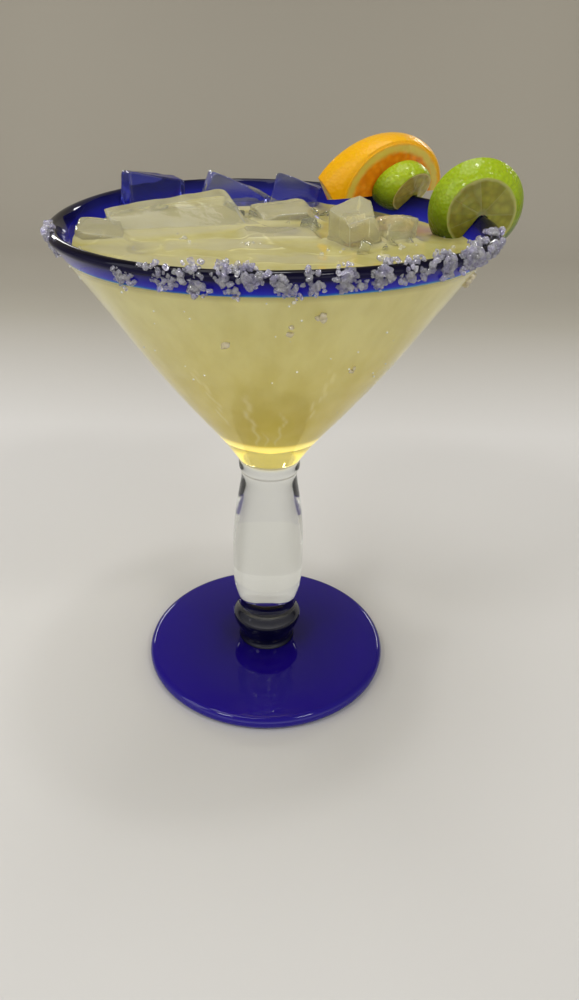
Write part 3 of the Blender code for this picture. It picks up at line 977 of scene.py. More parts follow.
@dataclass
class Salt:
    """Coarse salt in clumps round the band, with a few lumps that fell on the bowl."""

    glass: BlownGlass
    clumps: tuple = ((203, 5, 8, 0.0048), (238, 3, 4, 0.0055), (247, 3, 4, 0.0048), (254, 4, 7, 0.0050),
                     (262, 4, 7, 0.0054), (270, 4, 7, 0.0052), (279, 4, 5, 0.0040), (287, 4, 7, 0.0048),
                     (296, 4, 7, 0.0050), (305, 4, 7, 0.0054), (314, 4, 7, 0.0066), (323, 4, 9, 0.0066),
                     (332, 5, 9, 0.0066), (344, 5, 7, 0.0064))
    fallen: tuple = ((-76.5, 0.1700, 4), (-84, 0.1655, 2), (-101, 0.1575, 1), (-59, 0.1467, 2),
                     (-22, 0.1710, 9))
    radius: tuple = (0.0008, 0.0014)
    spread: float = 0.0021
    lowest: float = 0.0019
    highest: float = 0.0083
    lip_from: float = 0.0056
    drawn_size: float = 0.72
    above_lip: float = 0.0007
    fine_radius: tuple = (0.00036, 0.00080)
    fallen_radius: tuple = (0.0006, 0.0011)
    shear: float = 0.24
    seed: int = 17
    fines_to_a_grain: int = 11
    crust_from: int = 323
    crust_fines: int = 24

    def grains(self) -> tuple[Points, Points, Points]:
        """Places of the coarse grains, their radii, and the direction of the clump that each belongs to.

        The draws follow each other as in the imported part, so each grain lies where its solid does.

        Returns:
            Places, radii, and directions in degrees.
        """
        draw = random.Random(self.seed)
        outer = self.glass.bowl[0][0]
        rows = []
        for aim, spread, count, middle in self.clumps:
            for _ in range(count):
                turn = math.radians(draw.gauss(aim, spread * 0.55))
                above = min(max(draw.gauss(middle, self.spread), self.lowest), self.highest)
                radius = draw.uniform(*self.radius)
                out = outer + (self.glass.lip_radius - outer) * min(above / self.lip_from, 1.0)
                out += 0.15 * radius - max(above - self.lip_from, 0.0) * 0.9
                rows.append((out * math.cos(turn), out * math.sin(turn), self.glass.band_bottom + above,
                             radius, aim))
                for _ in range(6):
                    draw.random()
        table = np.array(rows)
        return self.glass.blown(table[:, :3]), table[:, 3], table[:, 4]

    def on_rim(self, draw: np.random.Generator) -> tuple[Points, Points]:
        """Coarse grains with finer ones packed round each, more of them in the crust on the right.

        Args:
            draw: the random generator.

        Returns:
            Places and radii.
        """
        places, radii, aims = self.grains()
        copies = np.where(aims >= self.crust_from, self.crust_fines, self.fines_to_a_grain)
        around = np.repeat(places, copies, axis=0)
        reach = np.repeat(radii, copies) * draw.uniform(0.5, 2.5, copies.sum())
        heading = draw.uniform(0, 2 * np.pi, len(reach))
        turn = np.arctan2(around[:, 1], around[:, 0]) + reach * np.cos(heading) / self.glass.lip_radius
        rise = reach * np.sin(heading)
        top = self.glass.height + self.above_lip
        over = np.maximum(around[:, 2] + rise - top, 0)
        loose = draw.uniform(-0.0004, 0.0005, len(reach))
        out = np.hypot(around[:, 0], around[:, 1]) + rise * 0.45 - over * 1.9 + loose
        fine = polar(out, turn, around[:, 2] + rise - over)
        sizes = draw.uniform(*self.fine_radius, len(fine))
        return np.vstack([places, fine]), np.concatenate([radii * self.drawn_size, sizes])

    def on_bowl(self, draw: np.random.Generator) -> tuple[Points, Points]:
        """Lumps that cling to the bowl's outside.

        Args:
            draw: the random generator.

        Returns:
            Places and radii.
        """
        profile = spline(np.array(self.glass.bowl), 9)[::-1]
        places = []
        for aim, height, count in self.fallen:
            turn = np.radians(draw.normal(aim, 0.55, count))
            z = draw.normal(height, 0.0008, count)
            out = np.interp(z, profile[:, 1], profile[:, 0]) + 0.0002
            places.append(polar(out, turn, z))
        points = self.glass.blown(np.vstack(places))
        return points, draw.uniform(*self.fallen_radius, len(points))

    def build(self) -> list[bpy.types.Object]:
        """Makes the salt on the band and the fallen lumps, each as one mesh.

        Returns:
            The pieces.
        """
        fallen_salt = CoarseSalt("salt_on_clear_glass", "e8dcc0", "d6c9a0", 0.35)
        _, shape, faces = rounded_cube(2, 4.0)
        made = []
        for name, place, finish in (("salt_on_rim", self.on_rim, CoarseSalt()),
                                    ("salt_on_bowl", self.on_bowl, fallen_salt)):
            draw = np.random.default_rng(self.seed)
            places, sizes = place(draw)
            points, sides = scattered(shape, faces, places, sizes, draw, self.shear)
            made.append(mesh_piece(name, points, sides, Slot.SALTED, finish.make(), 34.0))
        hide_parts("salted_rim")
        return made


# Ice


@dataclass
class IceBlock:
    """One block of ice: a box with shaken corners, chipped edges and shallow shell-shaped melt hollows."""

    name: str
    centre: tuple[float, float, float]
    size: tuple[float, float, float]
    turn: tuple[float, float, float]
    seed: int
    corner_shift: float = 0.16
    chips: int = 10
    chip_depth: float = 0.0022
    hollow: float = 0.0055
    hollow_depth: float = 0.00045
    clearance: float = 0.0005
    # painted blue of the cobalt band seen through the ice: its most, the height where it ends, and how far it
    # fades
    rim_share: tuple[float, float, float] = (0.0, 0.180, 0.001)

    def corners(self) -> Points:
        """Eight corners, in the order x slowest and z fastest, shaken by the seeded draw.

        Returns:
            8 by 3 array in the block's own frame.
        """
        draw = random.Random(self.seed)
        places = np.array([(x, y, z) for x in (-0.5, 0.5) for y in (-0.5, 0.5) for z in (-0.5, 0.5)])
        shake = np.array([[draw.uniform(-self.corner_shift, self.corner_shift) for _ in range(3)]
                          for _ in range(8)])
        return places * (1 + shake) * np.array(self.size)

    def pose(self) -> Matrix:
        """Where the block lies: turned about X, then Y, then Z, and moved to its centre.

        Returns:
            The block's matrix.
        """
        x, y, z = (math.radians(a) for a in self.turn)
        turned_by = Matrix.Rotation(z, 3, "Z") @ Matrix.Rotation(y, 3, "Y") @ Matrix.Rotation(x, 3, "X")
        return Matrix.LocRotScale(Vector(self.centre), turned_by, None)

    def between_corners(self, rounded: Points) -> Points:
        """Points of a cube from -1 to 1, blended linearly along x, y and z between the eight corners.

        Args:
            rounded: n by 3 array of points of the cube.

        Returns:
            n by 3 array in the block's own frame.
        """
        after = ((rounded + 1) / 2).T
        x, y, z = np.stack([1 - after, after], axis=1)
        return np.einsum("in,jn,kn,ijkc->nc", x, y, z, self.corners().reshape(2, 2, 2, 3))

    def weathered(self, points: Points) -> Points:
        """Flattens chips where points pass seeded planes, then sinks hollows between ridges.

        A hollow is deepest at its middle and ends at the ridge halfway to the next: the depth falls with the
        square of the distance from the nearest middle.

        Args:
            points: n by 3 array in the block's own frame.

        Returns:
            The worn points.
        """
        draw = np.random.default_rng(self.seed)
        for _ in range(self.chips):
            aim = draw.normal(size=3) / np.array(self.size)
            aim /= np.linalg.norm(aim)
            along = points @ aim
            top = along.max()
            limit = max(top * 0.86, top - self.chip_depth * draw.uniform(0.4, 1.0))
            points = points - aim * np.maximum(along - limit, 0)[:, None]
        middles = points[draw.integers(0, len(points), 26)]
        gap = np.linalg.norm(points[:, None] - middles[None], axis=2).min(axis=1)
        sink = self.hollow_depth * np.clip(1 - (gap / self.hollow) ** 2, 0, 1)
        away = points / np.linalg.norm(points, axis=1)[:, None]
        return points - away * sink[:, None]

    def build(self, glass: BlownGlass, finish: bpy.types.Material) -> bpy.types.Object:
        """Makes the block, weathered, and pressed inside the bowl's wall.

        Args:
            glass: the glass that it lies in.
            finish: its material.

        Returns:
            The piece.
        """
        cube, rounded, faces = rounded_cube(26, 15.0)
        pose = np.array(self.pose())
        points = self.weathered(self.between_corners(rounded)) @ pose[:3, :3].T + pose[:3, 3]
        x, y, z = points.T
        wall = glass.blown(polar(glass.inner_radius(z) - self.clearance, np.arctan2(y, x), z))
        limit = np.hypot(wall[:, 0], wall[:, 1])
        points[:, :2] *= np.minimum(limit / np.maximum(np.hypot(x, y), 1e-6), 1)[:, None]
        most, start, width = self.rim_share
        # edge and near_rim paint light: a highlight along the edges and the band's blue seen through the ice
        obj = mesh_piece(
            self.name + "_block", points, faces, Slot.ICE, finish, 24.0,
            edge=fade(np.sort(np.abs(cube), axis=1)[:, 1], 0.955, 0.045) * 0.75,
            near_rim=fade(points[:, 2], start, -width) * most)
        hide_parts(self.name)
        return obj


@dataclass
class Ice:
    """The blocks at the surface."""

    glass: BlownGlass
    bits: int = 30
    bits_seed: int = 31
    bit_radius: tuple = (0.0010, 0.0026)
    rows: tuple = (
        ("ice_slab", (-0.0335, 0.0160, 0.1757), (0.0520, 0.0230, 0.0100), (30, -5, 30), 3),
        ("ice_plate_left", (-0.0570, -0.0030, 0.1755), (0.0150, 0.0200, 0.0090), (6, 6, 10), 5),
        ("ice_shard_tall", (-0.0450, 0.0410, 0.1780), (0.0270, 0.0070, 0.0240), (-14, 12, 44), 8),
        ("ice_shard_back", (-0.0180, 0.0540, 0.1765), (0.0250, 0.0090, 0.0200), (-8, 24, 10), 12),
        ("ice_chip_back", (0.0070, 0.0580, 0.1785), (0.0190, 0.0090, 0.0180), (-8, 12, -8), 21),
        ("ice_piece_middle", (0.0030, 0.0340, 0.1755), (0.0240, 0.0150, 0.0110), (12, -6, 18), 27),
        ("ice_cube_front", (0.0270, -0.0040, 0.1790), (0.0150, 0.0150, 0.0200), (6, -8, 32), 34),
        ("ice_cube_small", (0.0415, 0.0060, 0.1765), (0.0115, 0.0120, 0.0150), (-8, 8, 14), 55),
        ("ice_melted", (0.0020, 0.0060, 0.1740), (0.0230, 0.0150, 0.0070), (2, 3, 10), 89),
    )
    # blocks beside the band: clear, with the painted blue of the band seen through them: most, ending height,
    # fade width
    near_rim: dict = field(default_factory=lambda: {
        "ice_shard_tall": (0.95, 0.1925, 0.0010), "ice_shard_back": (0.85, 0.1850, 0.0030),
        "ice_chip_back": (0.80, 0.1872, 0.0015)})

    def blocks(self) -> list[IceBlock]:
        """The blocks by name, place, size, turn and seed."""
        plain = IceBlock.rim_share
        return [IceBlock(*row, rim_share=self.near_rim.get(row[0], plain)) for row in self.rows]

    def build(self) -> list[bpy.types.Object]:
        """Makes every block, the thin ones at the back clear and the rest cloudy, and bits between them.

        Returns:
            The pieces.
        """
        clear, cloudy = CLEAR_ICE.make(), CLOUDY_ICE.make()
        made = [block.build(self.glass, clear if block.name in self.near_rim else cloudy)
                for block in self.blocks()]
        return made + [self.build_bits(clear)]

    def build_bits(self, finish: bpy.types.Material) -> bpy.types.Object:
        """Makes the crushed bits that float between the blocks.

        Args:
            finish: their material.

        Returns:
            The piece.
        """
        draw = np.random.default_rng(self.bits_seed)
        _, shape, faces = rounded_cube(7, 9.0)
        middles = np.array([(-0.012, 0.030, 0.1768), (0.014, 0.022, 0.1766), (-0.002, 0.046, 0.1770),
                            (0.020, 0.046, 0.1768), (0.036, -0.010, 0.1764), (-0.052, 0.022, 0.1768)])
        spread = draw.normal(size=(self.bits, 3)) * np.array([0.0055, 0.0045, 0.0006])
        places = np.repeat(middles, self.bits // len(middles), axis=0) + spread
        sizes = draw.uniform(*self.bit_radius, self.bits)
        points, sides = scattered(shape, faces, places, sizes, draw, 0.35)
        # the bits get a little painted edge highlight all over
        return mesh_piece("ice_bits", points, sides, Slot.ICE, finish, 24.0,
                          edge=np.full(len(points), 0.1), near_rim=np.zeros(len(points)))


# The drink


@dataclass
class Drink:
    """The cloudy drink, up to its level and just into the wall, with a meniscus at glass and ice."""

    glass: BlownGlass
    ice: Ice
    level: float = 0.1765
    into_wall: float = 0.0005
    meniscus: float = 0.0011
    meniscus_width: float = 0.0014
    wall_meniscus: float = 0.0009
    wave: float = 0.00009
    ice_ridge: float = 0.00022
    open_radius: float = 0.066
    seen_depth: float = 0.0035
    gathered_to: float = 0.1106
    circles: int = 150
    columns: int = 400
    # rectangles of sunken ice painted on the surface: middle, half size, turn in degrees and strength
    sunken: tuple = (
        ((-0.018, -0.010), (0.019, 0.0085), 14, 0.55), ((-0.047, -0.016), (0.011, 0.0100), -24, 0.45),
        ((0.010, -0.026), (0.017, 0.0075), 6, 0.40), ((0.000, 0.021), (0.012, 0.0060), -8, 0.50),
        ((-0.030, -0.034), (0.014, 0.0070), -12, 0.35), ((0.030, 0.016), (0.010, 0.0080), 30, 0.45))
    # painted reflection of the orange slice on the surface: middle and reach
    blush: tuple = ((0.0505, 0.0200), 0.0080)
    # painted bright stripes of light down the side: direction in degrees, lowest and highest height, width in
    # degrees
    painted_light_stripes: tuple = ((-100, 0.1100, 0.1400, 1.3), (-82, 0.1100, 0.1320, 0.9), (-93, 0.1095, 0.1200, 0.8),
                      (-66, 0.1240, 0.1500, 0.7), (-118, 0.1200, 0.1480, 0.7))

    def top_grid(self) -> Points:
        """Polar grid of the surface, from the axis's first ring out to the wall.

        Returns:
            Array of points, circle after circle.
        """
        edge = float(self.glass.inner_radius(np.array([self.level]))[0]) + self.into_wall
        out = np.linspace(0, edge, self.circles + 1)[1:]
        profile = np.column_stack([out, np.full(self.circles, self.level)])
        blown = self.glass.blown(rings(profile, self.columns))
        blown[:, 2] = self.level
        return blown

    def ice_distance(self, points: Points) -> Points:
        """Distance from points to the nearest block, as a signed box distance in each block's own frame.

        Outside, it is the length of what each coordinate has beyond the half size; inside, the largest
        coordinate less its half size, which is negative.

        Args:
            points: n by 3 array.

        Returns:
            One distance for each point.
        """
        nearest = np.full(len(points), 1.0)
        for block in self.ice.blocks():
            back = np.array(block.pose().inverted())
            local = points @ back[:3, :3].T + back[:3, 3]
            beyond = np.abs(local) - np.array(block.size) / 2
            outside = np.linalg.norm(np.maximum(beyond, 0), axis=1)
            nearest = np.minimum(nearest, outside + np.minimum(beyond.max(1), 0))
        return nearest

    def sunken_edges(self, points: Points) -> tuple[Points, Points]:
        """Painted sunken ice: how much of a block lies below each point, and how near its upper edges are.

        Each block is only painted, a turned rectangle; the signed distance to it gives a soft inside and a
        thin outline round it, a painted glint, which wanders by a ripple.

        Args:
            points: n by 3 array.

        Returns:
            The share of painted sunken ice and the strength of its painted glint outline, for each point.
        """
        inside = np.zeros(len(points))
        line = np.zeros(len(points))
        wander = 0.0012 * ripple(points, 10, 0.014, 9)
        warp = 0.0030 * np.stack([ripple(points, 7, 0.026, 41), ripple(points, 7, 0.026, 43)], axis=1)
        for (x, y), half, turn, share in self.sunken:
            c, s = math.cos(math.radians(turn)), math.sin(math.radians(turn))
            local = (points[:, :2] + warp - np.array([x, y])) @ np.array([[c, -s], [s, c]])
            beyond = np.abs(local) - np.array(half)
            gap = np.linalg.norm(np.maximum(beyond, 0), axis=1) + np.minimum(beyond.max(1), 0) + wander
            inside = np.maximum(inside, share * fade(gap, 0, -0.0030))
            # painted glint: a thin outline round each block
            thin = np.exp(-(gap / 0.00055) ** 2) * fade(wander, -0.0004, 0.0008)
            line = np.maximum(line, share * thin)
        return inside, line

    def painted_light_stripes_at(self, points: Points) -> Points:
        """Painted light: brightness of wavy upright stripes, a bell curve round a path that sways with
        height.

        Args:
            points: n by 3 array.

        Returns:
            One number for each point.
        """
        turn = np.degrees(np.arctan2(points[:, 1], points[:, 0]))
        z = points[:, 2]
        bright = np.zeros(len(points))
        for aim, low, high, width in self.painted_light_stripes:
            sway = 1.5 * np.sin(z / 0.0013 + aim) + 1.1 * np.sin(z / 0.0031 + 2 * aim)
            ends = fade(z, low, 0.003) * fade(z, high, -0.005)
            bright = np.maximum(bright, np.exp(-((turn - aim - sway) / width) ** 2) * ends * 0.8)
        return bright

    def build(self) -> bpy.types.Object:
        """Makes the drink: surface, wall side and rounded bottom in one closed mesh.

        Returns:
            The piece.
        """
        top = self.top_grid()
        _, line = self.sunken_edges(top)
        at_ice = np.exp(-np.maximum(self.ice_distance(top), 0) / self.meniscus_width)
        from_wall = self.open_radius * (1 - np.linspace(0, 1, self.circles + 1)[1:])
        at_wall = np.repeat(np.exp(-from_wall / self.meniscus_width), self.columns)
        waves = self.wave * ripple(top, 18, 0.016, 5) + self.ice_ridge * line
        top[:, 2] += self.meniscus * at_ice + self.wall_meniscus * at_wall + waves
        side = self.glass.cavity(10)[1:-1]
        side = side[side[:, 1] < self.level - 0.0006] + np.array([self.into_wall, -self.into_wall * 0.6])
        body = np.vstack([top, self.glass.blown(rings(side, self.columns))])
        lowest = self.glass.cavity_bottom - self.into_wall * 0.6
        points, faces = capped(body, self.columns, self.level, lowest)
        on_top = np.zeros(len(points))
        on_top[:len(top)] = 1
        on_top[len(body)] = 1
        inside, line = self.sunken_edges(points)
        to_ice = self.ice_distance(points - np.array([0, 0, 0.0025]))
        # painted reflection of the orange: fading with distance from its middle
        (x, y), reach = self.blush
        near = np.exp(-((points[:, 0] - x) ** 2 + (points[:, 1] - y) ** 2) / reach ** 2)
        # the top's attributes paint light: sunken ice seen through it, glints and the orange's reflection;
        # the side's paint bright stripes of light
        obj = mesh_piece(
            "drink_body", points, faces, Slot.DRINK, CloudyDrink().make(), 50.0,
            bottom=fade(points[:, 2], self.gathered_to, -0.0014),
            surface=on_top,
            ice_below=np.maximum(fade(to_ice, self.seen_depth, -self.seen_depth) * 0.6, inside) * on_top,
            line=np.where(on_top > 0, line * 0.7, self.painted_light_stripes_at(points)),
            blush=near * 0.8 * on_top)
        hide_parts("drink")
        return obj


@dataclass
class Wet:
    """Bubbles on the drink and drops of dew on the bowl, as small smooth domes."""

    glass: BlownGlass
    level: float = 0.1766
    at_wall: int = 34
    free: tuple = ((0.0352, -0.0270), (0.018, -0.016), (0.041, -0.006), (-0.006, -0.008), (-0.030, -0.004))
    beside_each: int = 4
    largest: float = 0.0021
    dew: int = 110
    bubble_radius: tuple = (0.00035, 0.0009)
    drop_radius: tuple = (0.00012, 0.00042)
    seed: int = 8

    def bubbles(self, draw: np.random.Generator) -> tuple[Points, Points]:
        """Bubbles gather at the wall and beside the ice; a few float free.

        Args:
            draw: the random generator.

        Returns:
            Places and radii.
        """
        turn = draw.uniform(-np.pi, 0.2, self.at_wall)
        edge = float(self.glass.inner_radius(np.array([self.level]))[0])
        out = edge - np.abs(draw.normal(0.0016, 0.0022, self.at_wall))
        free = np.array(self.free)
        beside = np.repeat(free, self.beside_each, axis=0)
        beside = beside + draw.normal(0, 0.003, beside.shape)
        floating = np.vstack([free, beside])
        heights = np.full((len(floating), 1), self.level)
        flat = np.vstack([polar(out, turn, self.level), np.hstack([floating, heights])])
        sizes = draw.uniform(*self.bubble_radius, len(flat))
        sizes[self.at_wall] = self.largest
        return self.glass.blown(flat) * [1, 1, 0] + [0, 0, self.level], sizes

    def drops(self, draw: np.random.Generator) -> tuple[Points, Points]:
        """Drops of dew on the outside of the bowl, thicker towards the band.

        Args:
            draw: the random generator.

        Returns:
            Places and radii.
        """
        profile = spline(np.array(self.glass.bowl), 9)[::-1]
        z = np.clip(0.175 - np.abs(draw.normal(0, 0.022, self.dew)), 0.112, 0.1748)
        turn = draw.uniform(-np.pi, np.pi, self.dew)
        out = np.interp(z, profile[:, 1], profile[:, 0])
        return self.glass.blown(polar(out, turn, z)), draw.uniform(*self.drop_radius, self.dew)

    def build(self) -> list[bpy.types.Object]:
        """Makes the bubbles and the drops, each as one mesh.

        Returns:
            The pieces.
        """
        _, shape, faces = rounded_cube(3, 2.0)
        made = []
        for name, place, slot, film in (("bubbles", self.bubbles, Slot.DRINK, Film("water_film", 0.75)),
                                        ("dew_drops", self.drops, Slot.CLEAR, Film("dew_film", 0.30))):
            draw = np.random.default_rng(self.seed)
            places, sizes = place(draw)
            points, sides = scattered(shape, faces, places, sizes, draw, 0.05)
            made.append(mesh_piece(name, points, sides, slot, film.make(), 180.0))
        return made


# Citrus


@dataclass
class SliceFrame:
    """Where a slice stands: its face's middle, direction and lean, and its back's shift and flare."""

    origin: tuple[float, float, float]
    aim: tuple[float, float]
    turn: float
    radius: float
    shift: tuple[float, float]
    flare: float

    def matrix(self) -> Matrix:
        """Pose whose +Z is the front face, with +X level and the round turned in its plane.

        Returns:
            The pose's matrix.
        """
        direction, lean = (math.radians(a) for a in self.aim)
        front = Vector((math.cos(direction) * math.cos(lean), math.sin(direction) * math.cos(lean),
                        -math.sin(lean)))
        level = Vector((0, 0, 1)).cross(front).normalized()
        frame = Matrix((level, front.cross(level), front)).transposed()
        turned_by = frame @ Matrix.Rotation(math.radians(self.turn), 3, "Z")
        return Matrix.Translation(Vector(self.origin)) @ turned_by.to_4x4()

    def euler(self) -> tuple[float, float, float]:
        """The pose's turn as X, Y and Z angles, for a Mapping node."""
        return tuple(self.matrix().to_euler("XYZ"))


@dataclass
class CitrusSlice:
    """A hand-cut slice: small front face, rind bulging to a wider back, and a slit over the rim."""

    name: str
    face: tuple[float, float, float]
    front: float
    back: float
    thickness: tuple[float, float]
    shift: tuple[float, float]
    aim: tuple[float, float]
    turn: float
    below: float | None
    slot: Slot
    rind: Rind
    flesh: CutFace
    columns: int = 160
    edge: float = 0.0006
    slit_gap: float = 0.00045
    face_rows: int = 25
    back_rows: int = 20
    cut_slope: float = 0.5
    corner: tuple[float, float] = (-0.0264, 0.0041)
    corner_direction: tuple[float, float] = (-0.865, -0.502)

    def frame(self) -> SliceFrame:
        """Where the slice stands."""
        flare = (self.back - self.front) / max(self.thickness)
        return SliceFrame(self.face, self.aim, self.turn, self.front, self.shift, flare)

    def rind_outline(self) -> Points:
        """(radius, depth) of the rind from the front edge to the back, on a ball about the slice's axis.

        Returns:
            Array of points (radius, depth).
        """
        deep = max(self.thickness)
        offset = (self.back ** 2 - self.front ** 2 - deep ** 2) / (2 * deep)
        ball = math.hypot(self.back, offset)
        heights = np.linspace(deep + offset, offset, 15)
        return np.stack([np.sqrt(ball ** 2 - heights ** 2), heights - deep - offset], axis=1)

    def surface(self) -> tuple[Points, Faces, Points]:
        """Face rings, rounded edge, rind and back as one turned grid.

        Returns:
            The points, the faces, and for each face 0 on the rind and 1 elsewhere.
        """
        deep = max(self.thickness)
        outline = self.rind_outline()
        out = np.linspace(0, 1, self.face_rows + 1)[1:] * (self.front - self.edge)
        face = np.column_stack([out, np.zeros(self.face_rows)])
        corner = arc((self.front - self.edge, -self.edge), self.edge, 72, 12, 3)
        belly = outline[outline[:, 1] < -self.edge * 1.2]
        inwards = np.linspace(1, 0, self.back_rows + 2)[1:-1] * self.back
        back = np.column_stack([inwards, np.full(self.back_rows, -deep)])
        profile = np.vstack([[[0, 0]], face, corner, belly, back, [[0, -deep]]])
        points, faces = turned(profile, self.columns)
        finish = np.ones(len(faces), np.int32)
        rind_to = (len(face) + len(corner) + len(belly) - 1) * self.columns
        finish[len(face) * self.columns:rind_to] = 0
        return points, faces, finish

    def relief(self, points: Points) -> Points:
        """Flesh bulges a little out of the cut face and sinks along the walls between its segments.

        Args:
            points: the slice's points in its own frame.

        Returns:
            The moved points.
        """
        out = np.hypot(points[:, 0], points[:, 1]) / self.front
        turn = np.arctan2(points[:, 1], points[:, 0]) * self.flesh.segments / (2 * np.pi)
        wall = np.abs(turn - np.round(turn))
        bulge = np.clip(1 - np.abs(out - 0.38) / 0.34, 0, 1) ** 0.5
        seam = np.clip(1 - wall / 0.10, 0, 1)
        on_face = points[:, 2] > -1e-7
        lift = bulge * (0.00035 - 0.00012 * seam) + 0.00014 * ripple(points, 12, 0.006, 3)
        moved = points.copy()
        moved[:, 2] += lift * on_face * (out < 0.9)
        return moved

    def build(self, glass: BlownGlass) -> bpy.types.Object:
        """Makes the slice, cuts its slant, its half and its slit, and dresses rind and flesh apart.

        Args:
            glass: the glass that it leans on.

        Returns:
            The piece.
        """
        points, faces, finish = self.surface()
        points = self.relief(points)
        points[:, :2] += np.array(self.shift) * points[:, 2:]
        mesh = bpy.data.meshes.new(self.name)
        mesh.from_pydata(points.tolist(), [], faces)
        mesh.polygons.foreach_set("material_index", finish)
        local = bmesh.new()
        local.from_mesh(mesh)
        left, right = self.thickness
        middle_back = Vector((*self.shift, 1.0)) * (-(left + right) / 2)
        slant = Vector((right - left, 0.0, 2 * self.back - (right - left) * self.shift[0]))
        self.cut(local, middle_back, -slant.normalized())
        if self.below is not None:
            downwards = Vector((0.0, -1.0, self.cut_slope)).normalized()
            self.cut(local, Vector((0.0, -self.below, 0.0)), downwards)
            self.cut(local, Vector((*self.corner, 0.0)), Vector((*self.corner_direction, 0.0)))
        frame = self.frame()
        local.transform(frame.matrix())
        local.to_mesh(mesh)
        local.free()
        mesh.shade_smooth()
        mesh.materials.append(self.rind.make(frame))
        mesh.materials.append(self.flesh.make(frame))
        obj = placed(self.name + "_fruit", mesh)
        slit = bpy.data.meshes.new("slit")
        slit_points, slit_faces = turned_ring(glass.band_profile(self.slit_gap), 160)
        slit.from_pydata(glass.blown(slit_points).tolist(), [], slit_faces)
        cut_with(obj, placed("slit", slit))
        obj.data.set_sharp_from_angle(angle=math.radians(40))
        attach(obj, BODY)
        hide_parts(self.name)
        LOG.info("%s: %d faces", obj.name, len(obj.data.polygons))
        return obj

    @staticmethod
    def cut(shape: bmesh.types.BMesh, point: Vector, normal: Vector) -> None:
        """Cuts away what lies beyond a plane and closes it with a cut face.

        Args:
            shape: the slice, in its own frame.
            point: a point of the plane.
            normal: the plane's direction; what lies that way is cut away.
        """
        everything = list(shape.verts) + list(shape.edges) + list(shape.faces)
        found = bmesh.ops.bisect_plane(shape, geom=everything, plane_co=point, plane_no=normal,
                                       clear_outer=True, dist=0.000001)
        rim = [item for item in found["geom_cut"] if isinstance(item, bmesh.types.BMEdge)]
        filled = bmesh.ops.holes_fill(shape, edges=rim, sides=0)
        for made in filled["faces"]:
            made.material_index = 1


def citrus_slices() -> list[CitrusSlice]:
    """The whole lime slice, the small one and the half slice of orange, each with its rind and flesh.

    Returns:
        The slices.
    """
    # each zest's three tones: lit on top, in shade and lowest, as painted light and shade
    lime_rind = Rind("lime_zest", "8fa50c", "6f8208", "3e4e02")
    small_rind = Rind("small_lime_zest", "98aa10", "7a8e0a", "364a02")
    orange_rind = Rind("orange_zest", "dfa400", "dd9c00", "cc8802", 0.0012, 0.5, 0.10)
    lime_flesh = CutFace("lime_flesh", "8c9820", "a0a060", "8a8826", "726e1a", "98956c",
                         7, 0.87, 0.018, 0.25)
    small_flesh = CutFace("small_lime_flesh", "8c9822", "ccc47c", "b0a444", "948834", "c4b87c",
                          7, 0.87, 0.025, 0.25)
    orange_flesh = CutFace("orange_flesh", "dca006", "d4bc50", "f09612", "dc7e06", "dca030",
                           9, 0.79, 0.045, 0.1)
    return [
        CitrusSlice("lime_wheel", (0.0703, 0.0075, 0.1848), 0.0124, 0.0168, (0.0072, 0.0060), (0, 0),
                    (-84, 9), 0, None, Slot.LIME, lime_rind, lime_flesh),
        CitrusSlice("lime_slice", (0.0508, 0.0410, 0.1861), 0.0087, 0.0098, (0.0090, 0.0065), (0.10, 0.28),
                    (-52, 32), 0, None, Slot.LIME, small_rind, small_flesh),
        CitrusSlice("orange_slice", (0.0444, 0.0500, 0.1826), 0.0209, 0.0309, (0.0120, 0.0070), (0, 0.92),
                    (-64, 16), 2, -0.0012, Slot.ORANGE, orange_rind, orange_flesh),
    ]


# Studio


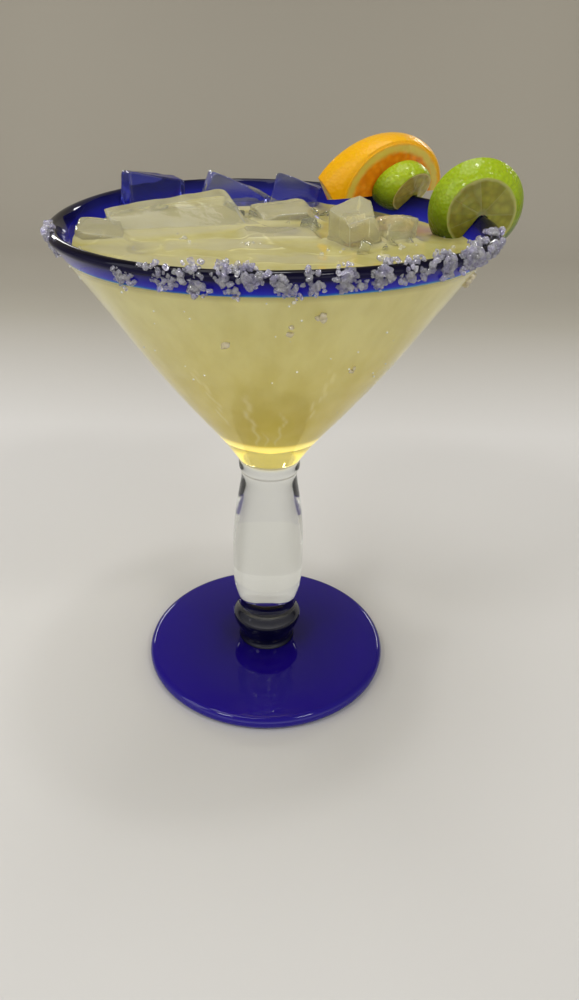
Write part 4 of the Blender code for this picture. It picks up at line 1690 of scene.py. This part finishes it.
@dataclass(frozen=True)
class Studio:
    """Pale floor, soft lights, and the camera at the photograph's angle."""

    focal_px: float = 796.8
    long_side_px: int = 1000
    sensor_mm: float = 36.0
    position: tuple = (0.0045, -0.2745, 0.2352)
    pitch: float = 30.19
    roll: float = 1.82
    yaw: float = 0.78
    floor_half: float = 3.0
    floor_front: float = 2.2
    bend_at: float = 0.55
    bend_radius: float = 0.35
    wall_height: float = 2.4
    lights: tuple = (
        ("ceiling", (-0.15, 0.10, 1.5), (0, 0, 0.1), (1.1, 0.7), 7.2, "fffdf8"),
        ("window_left", (-1.2, -0.5, 0.9), (0, 0, 0.12), (0.5, 0.9), 3.0, "f6f8ff"),
        ("strip_back_left", (-0.42, 0.85, 0.46), (0, 0, 0.18), (0.5, 0.05), 1.3, "ffffff"),
        ("strip_back_right", (0.42, 0.85, 0.46), (0, 0, 0.18), (0.5, 0.05), 1.3, "ffffff"),
        ("lamp_top", (0.10, 0.05, 1.2), (0, 0, 0.10), (0.10, 0.10), 1.2, "ffffff"),
        ("lamp_left", (-0.62, -0.66, 1.15), (0, 0, 0.10), (0.26, 0.10), 2.6, "ffffff"),
        ("lamp_right", (0.62, -0.66, 1.15), (0, 0, 0.10), (0.26, 0.10), 2.6, "ffffff"))

    def camera(self) -> None:
        """Sets the camera: looks along a heading tipped down by the pitch, then rolled about its own axis."""
        data = bpy.data.cameras.new("camera")
        data.sensor_width = self.sensor_mm
        data.lens = self.focal_px / self.long_side_px * self.sensor_mm
        data.clip_start = 0.01
        pitch, roll, yaw = (math.radians(a) for a in (self.pitch, self.roll, self.yaw))
        level = np.array([math.cos(yaw), -math.sin(yaw), 0.0])
        ahead = np.array([math.sin(yaw), math.cos(yaw), 0.0])
        forward = ahead * math.cos(pitch) - np.array([0, 0, math.sin(pitch)])
        upward = ahead * math.sin(pitch) + np.array([0, 0, math.cos(pitch)])
        right = level * math.cos(roll) + upward * math.sin(roll)
        up = upward * math.cos(roll) - level * math.sin(roll)
        camera = placed("camera", data)
        camera.matrix_world = Matrix.LocRotScale(
            Vector(self.position), Matrix((right, up, -forward)).transposed(), None)
        bpy.context.scene.camera = camera

    def floor(self) -> None:
        """Seamless pale sweep: flat, curving up into a backdrop far behind, as a profile carried along X."""
        bend = arc((self.bend_at, self.bend_radius), self.bend_radius, -90, 0, 24)
        wall = self.bend_at + self.bend_radius
        curve = np.vstack([[(-self.floor_front, 0.0)], bend, [(wall, self.wall_height)]])
        sides = np.array([-self.floor_half, self.floor_half])
        sheet = np.broadcast_arrays(sides, curve[:, :1], curve[:, 1:])
        faces = 2 * np.arange(len(curve) - 1)[:, None] + np.array([0, 1, 3, 2])
        mesh = bpy.data.meshes.new("floor")
        mesh.from_pydata(np.stack(sheet, axis=-1).reshape(-1, 3).tolist(), [], faces.tolist())
        mesh.shade_smooth()
        nodes = Nodes(bpy.data.materials.new("matt_paper_sweep"))
        split = nodes.add("SeparateXYZ", nodes.add("TexCoord").outputs["Object"])
        away = nodes.add("Math", split.outputs[1], split.outputs[2], operation="ADD")
        share = nodes.add("Math", away, 2.2, -0.50, operation="MULTIPLY_ADD")
        tone = nodes.add("ValToRGB", share, stops=((0.0, "cdcbc8"), (0.55, "a09b8f"), (1.0, "847e71")))
        mesh.materials.append(nodes.shade(Base_Color=tone, Roughness=0.6))
        floor = placed("floor", mesh)

    def light(self, name: str, place: tuple, aim: tuple, size: tuple, power: float, tone: str) -> None:
        """Adds a rectangular soft light that faces a point.

        Args:
            name: its name.
            place: where it stands.
            aim: the point that it faces.
            size: width and height in metres.
            power: watts.
            tone: hex colour.
        """
        data = bpy.data.lights.new(name, "AREA")
        data.shape = "RECTANGLE"
        data.size, data.size_y = size
        data.energy = power
        data.color = linear(tone)[:3]
        light = placed(name, data)
        light.location = place
        light.rotation_euler = (Vector(aim) - Vector(place)).to_track_quat("-Z", "Y").to_euler()

    def build(self) -> None:
        """Makes camera, floor, world and lights."""
        self.camera()
        self.floor()
        world = bpy.data.worlds.new("studio")
        bpy.context.scene.world = world
        nodes = Nodes(world, "Background")
        heading = nodes.add("SeparateXYZ", nodes.add("TexCoord").outputs["Generated"])
        front = nodes.add("MapRange", heading.outputs[1], 0.25, -1.0, 0.0, 1.9)
        low = nodes.add("MapRange", heading.outputs[2], 0.62, 0.05, 0.0, 1.0)
        glow = nodes.add("Math", front, low, 0.34, operation="MULTIPLY_ADD")
        nodes.shade(Color="f4f3f0", Strength=glow)
        for row in self.lights:
            self.light(*row)
        bpy.context.scene.view_settings.view_transform = "Standard"


def main() -> None:
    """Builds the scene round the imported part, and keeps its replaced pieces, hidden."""
    logging.basicConfig(level=logging.INFO, format="%(name)s: %(message)s")
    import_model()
    glass = BlownGlass()
    glass.build()
    Salt(glass).build()
    ice = Ice(glass)
    ice.build()
    Drink(glass, ice).build()
    Wet(glass).build()
    for piece in citrus_slices():
        piece.build(glass)
    Studio().build()


if __name__ == "__main__":
    main()
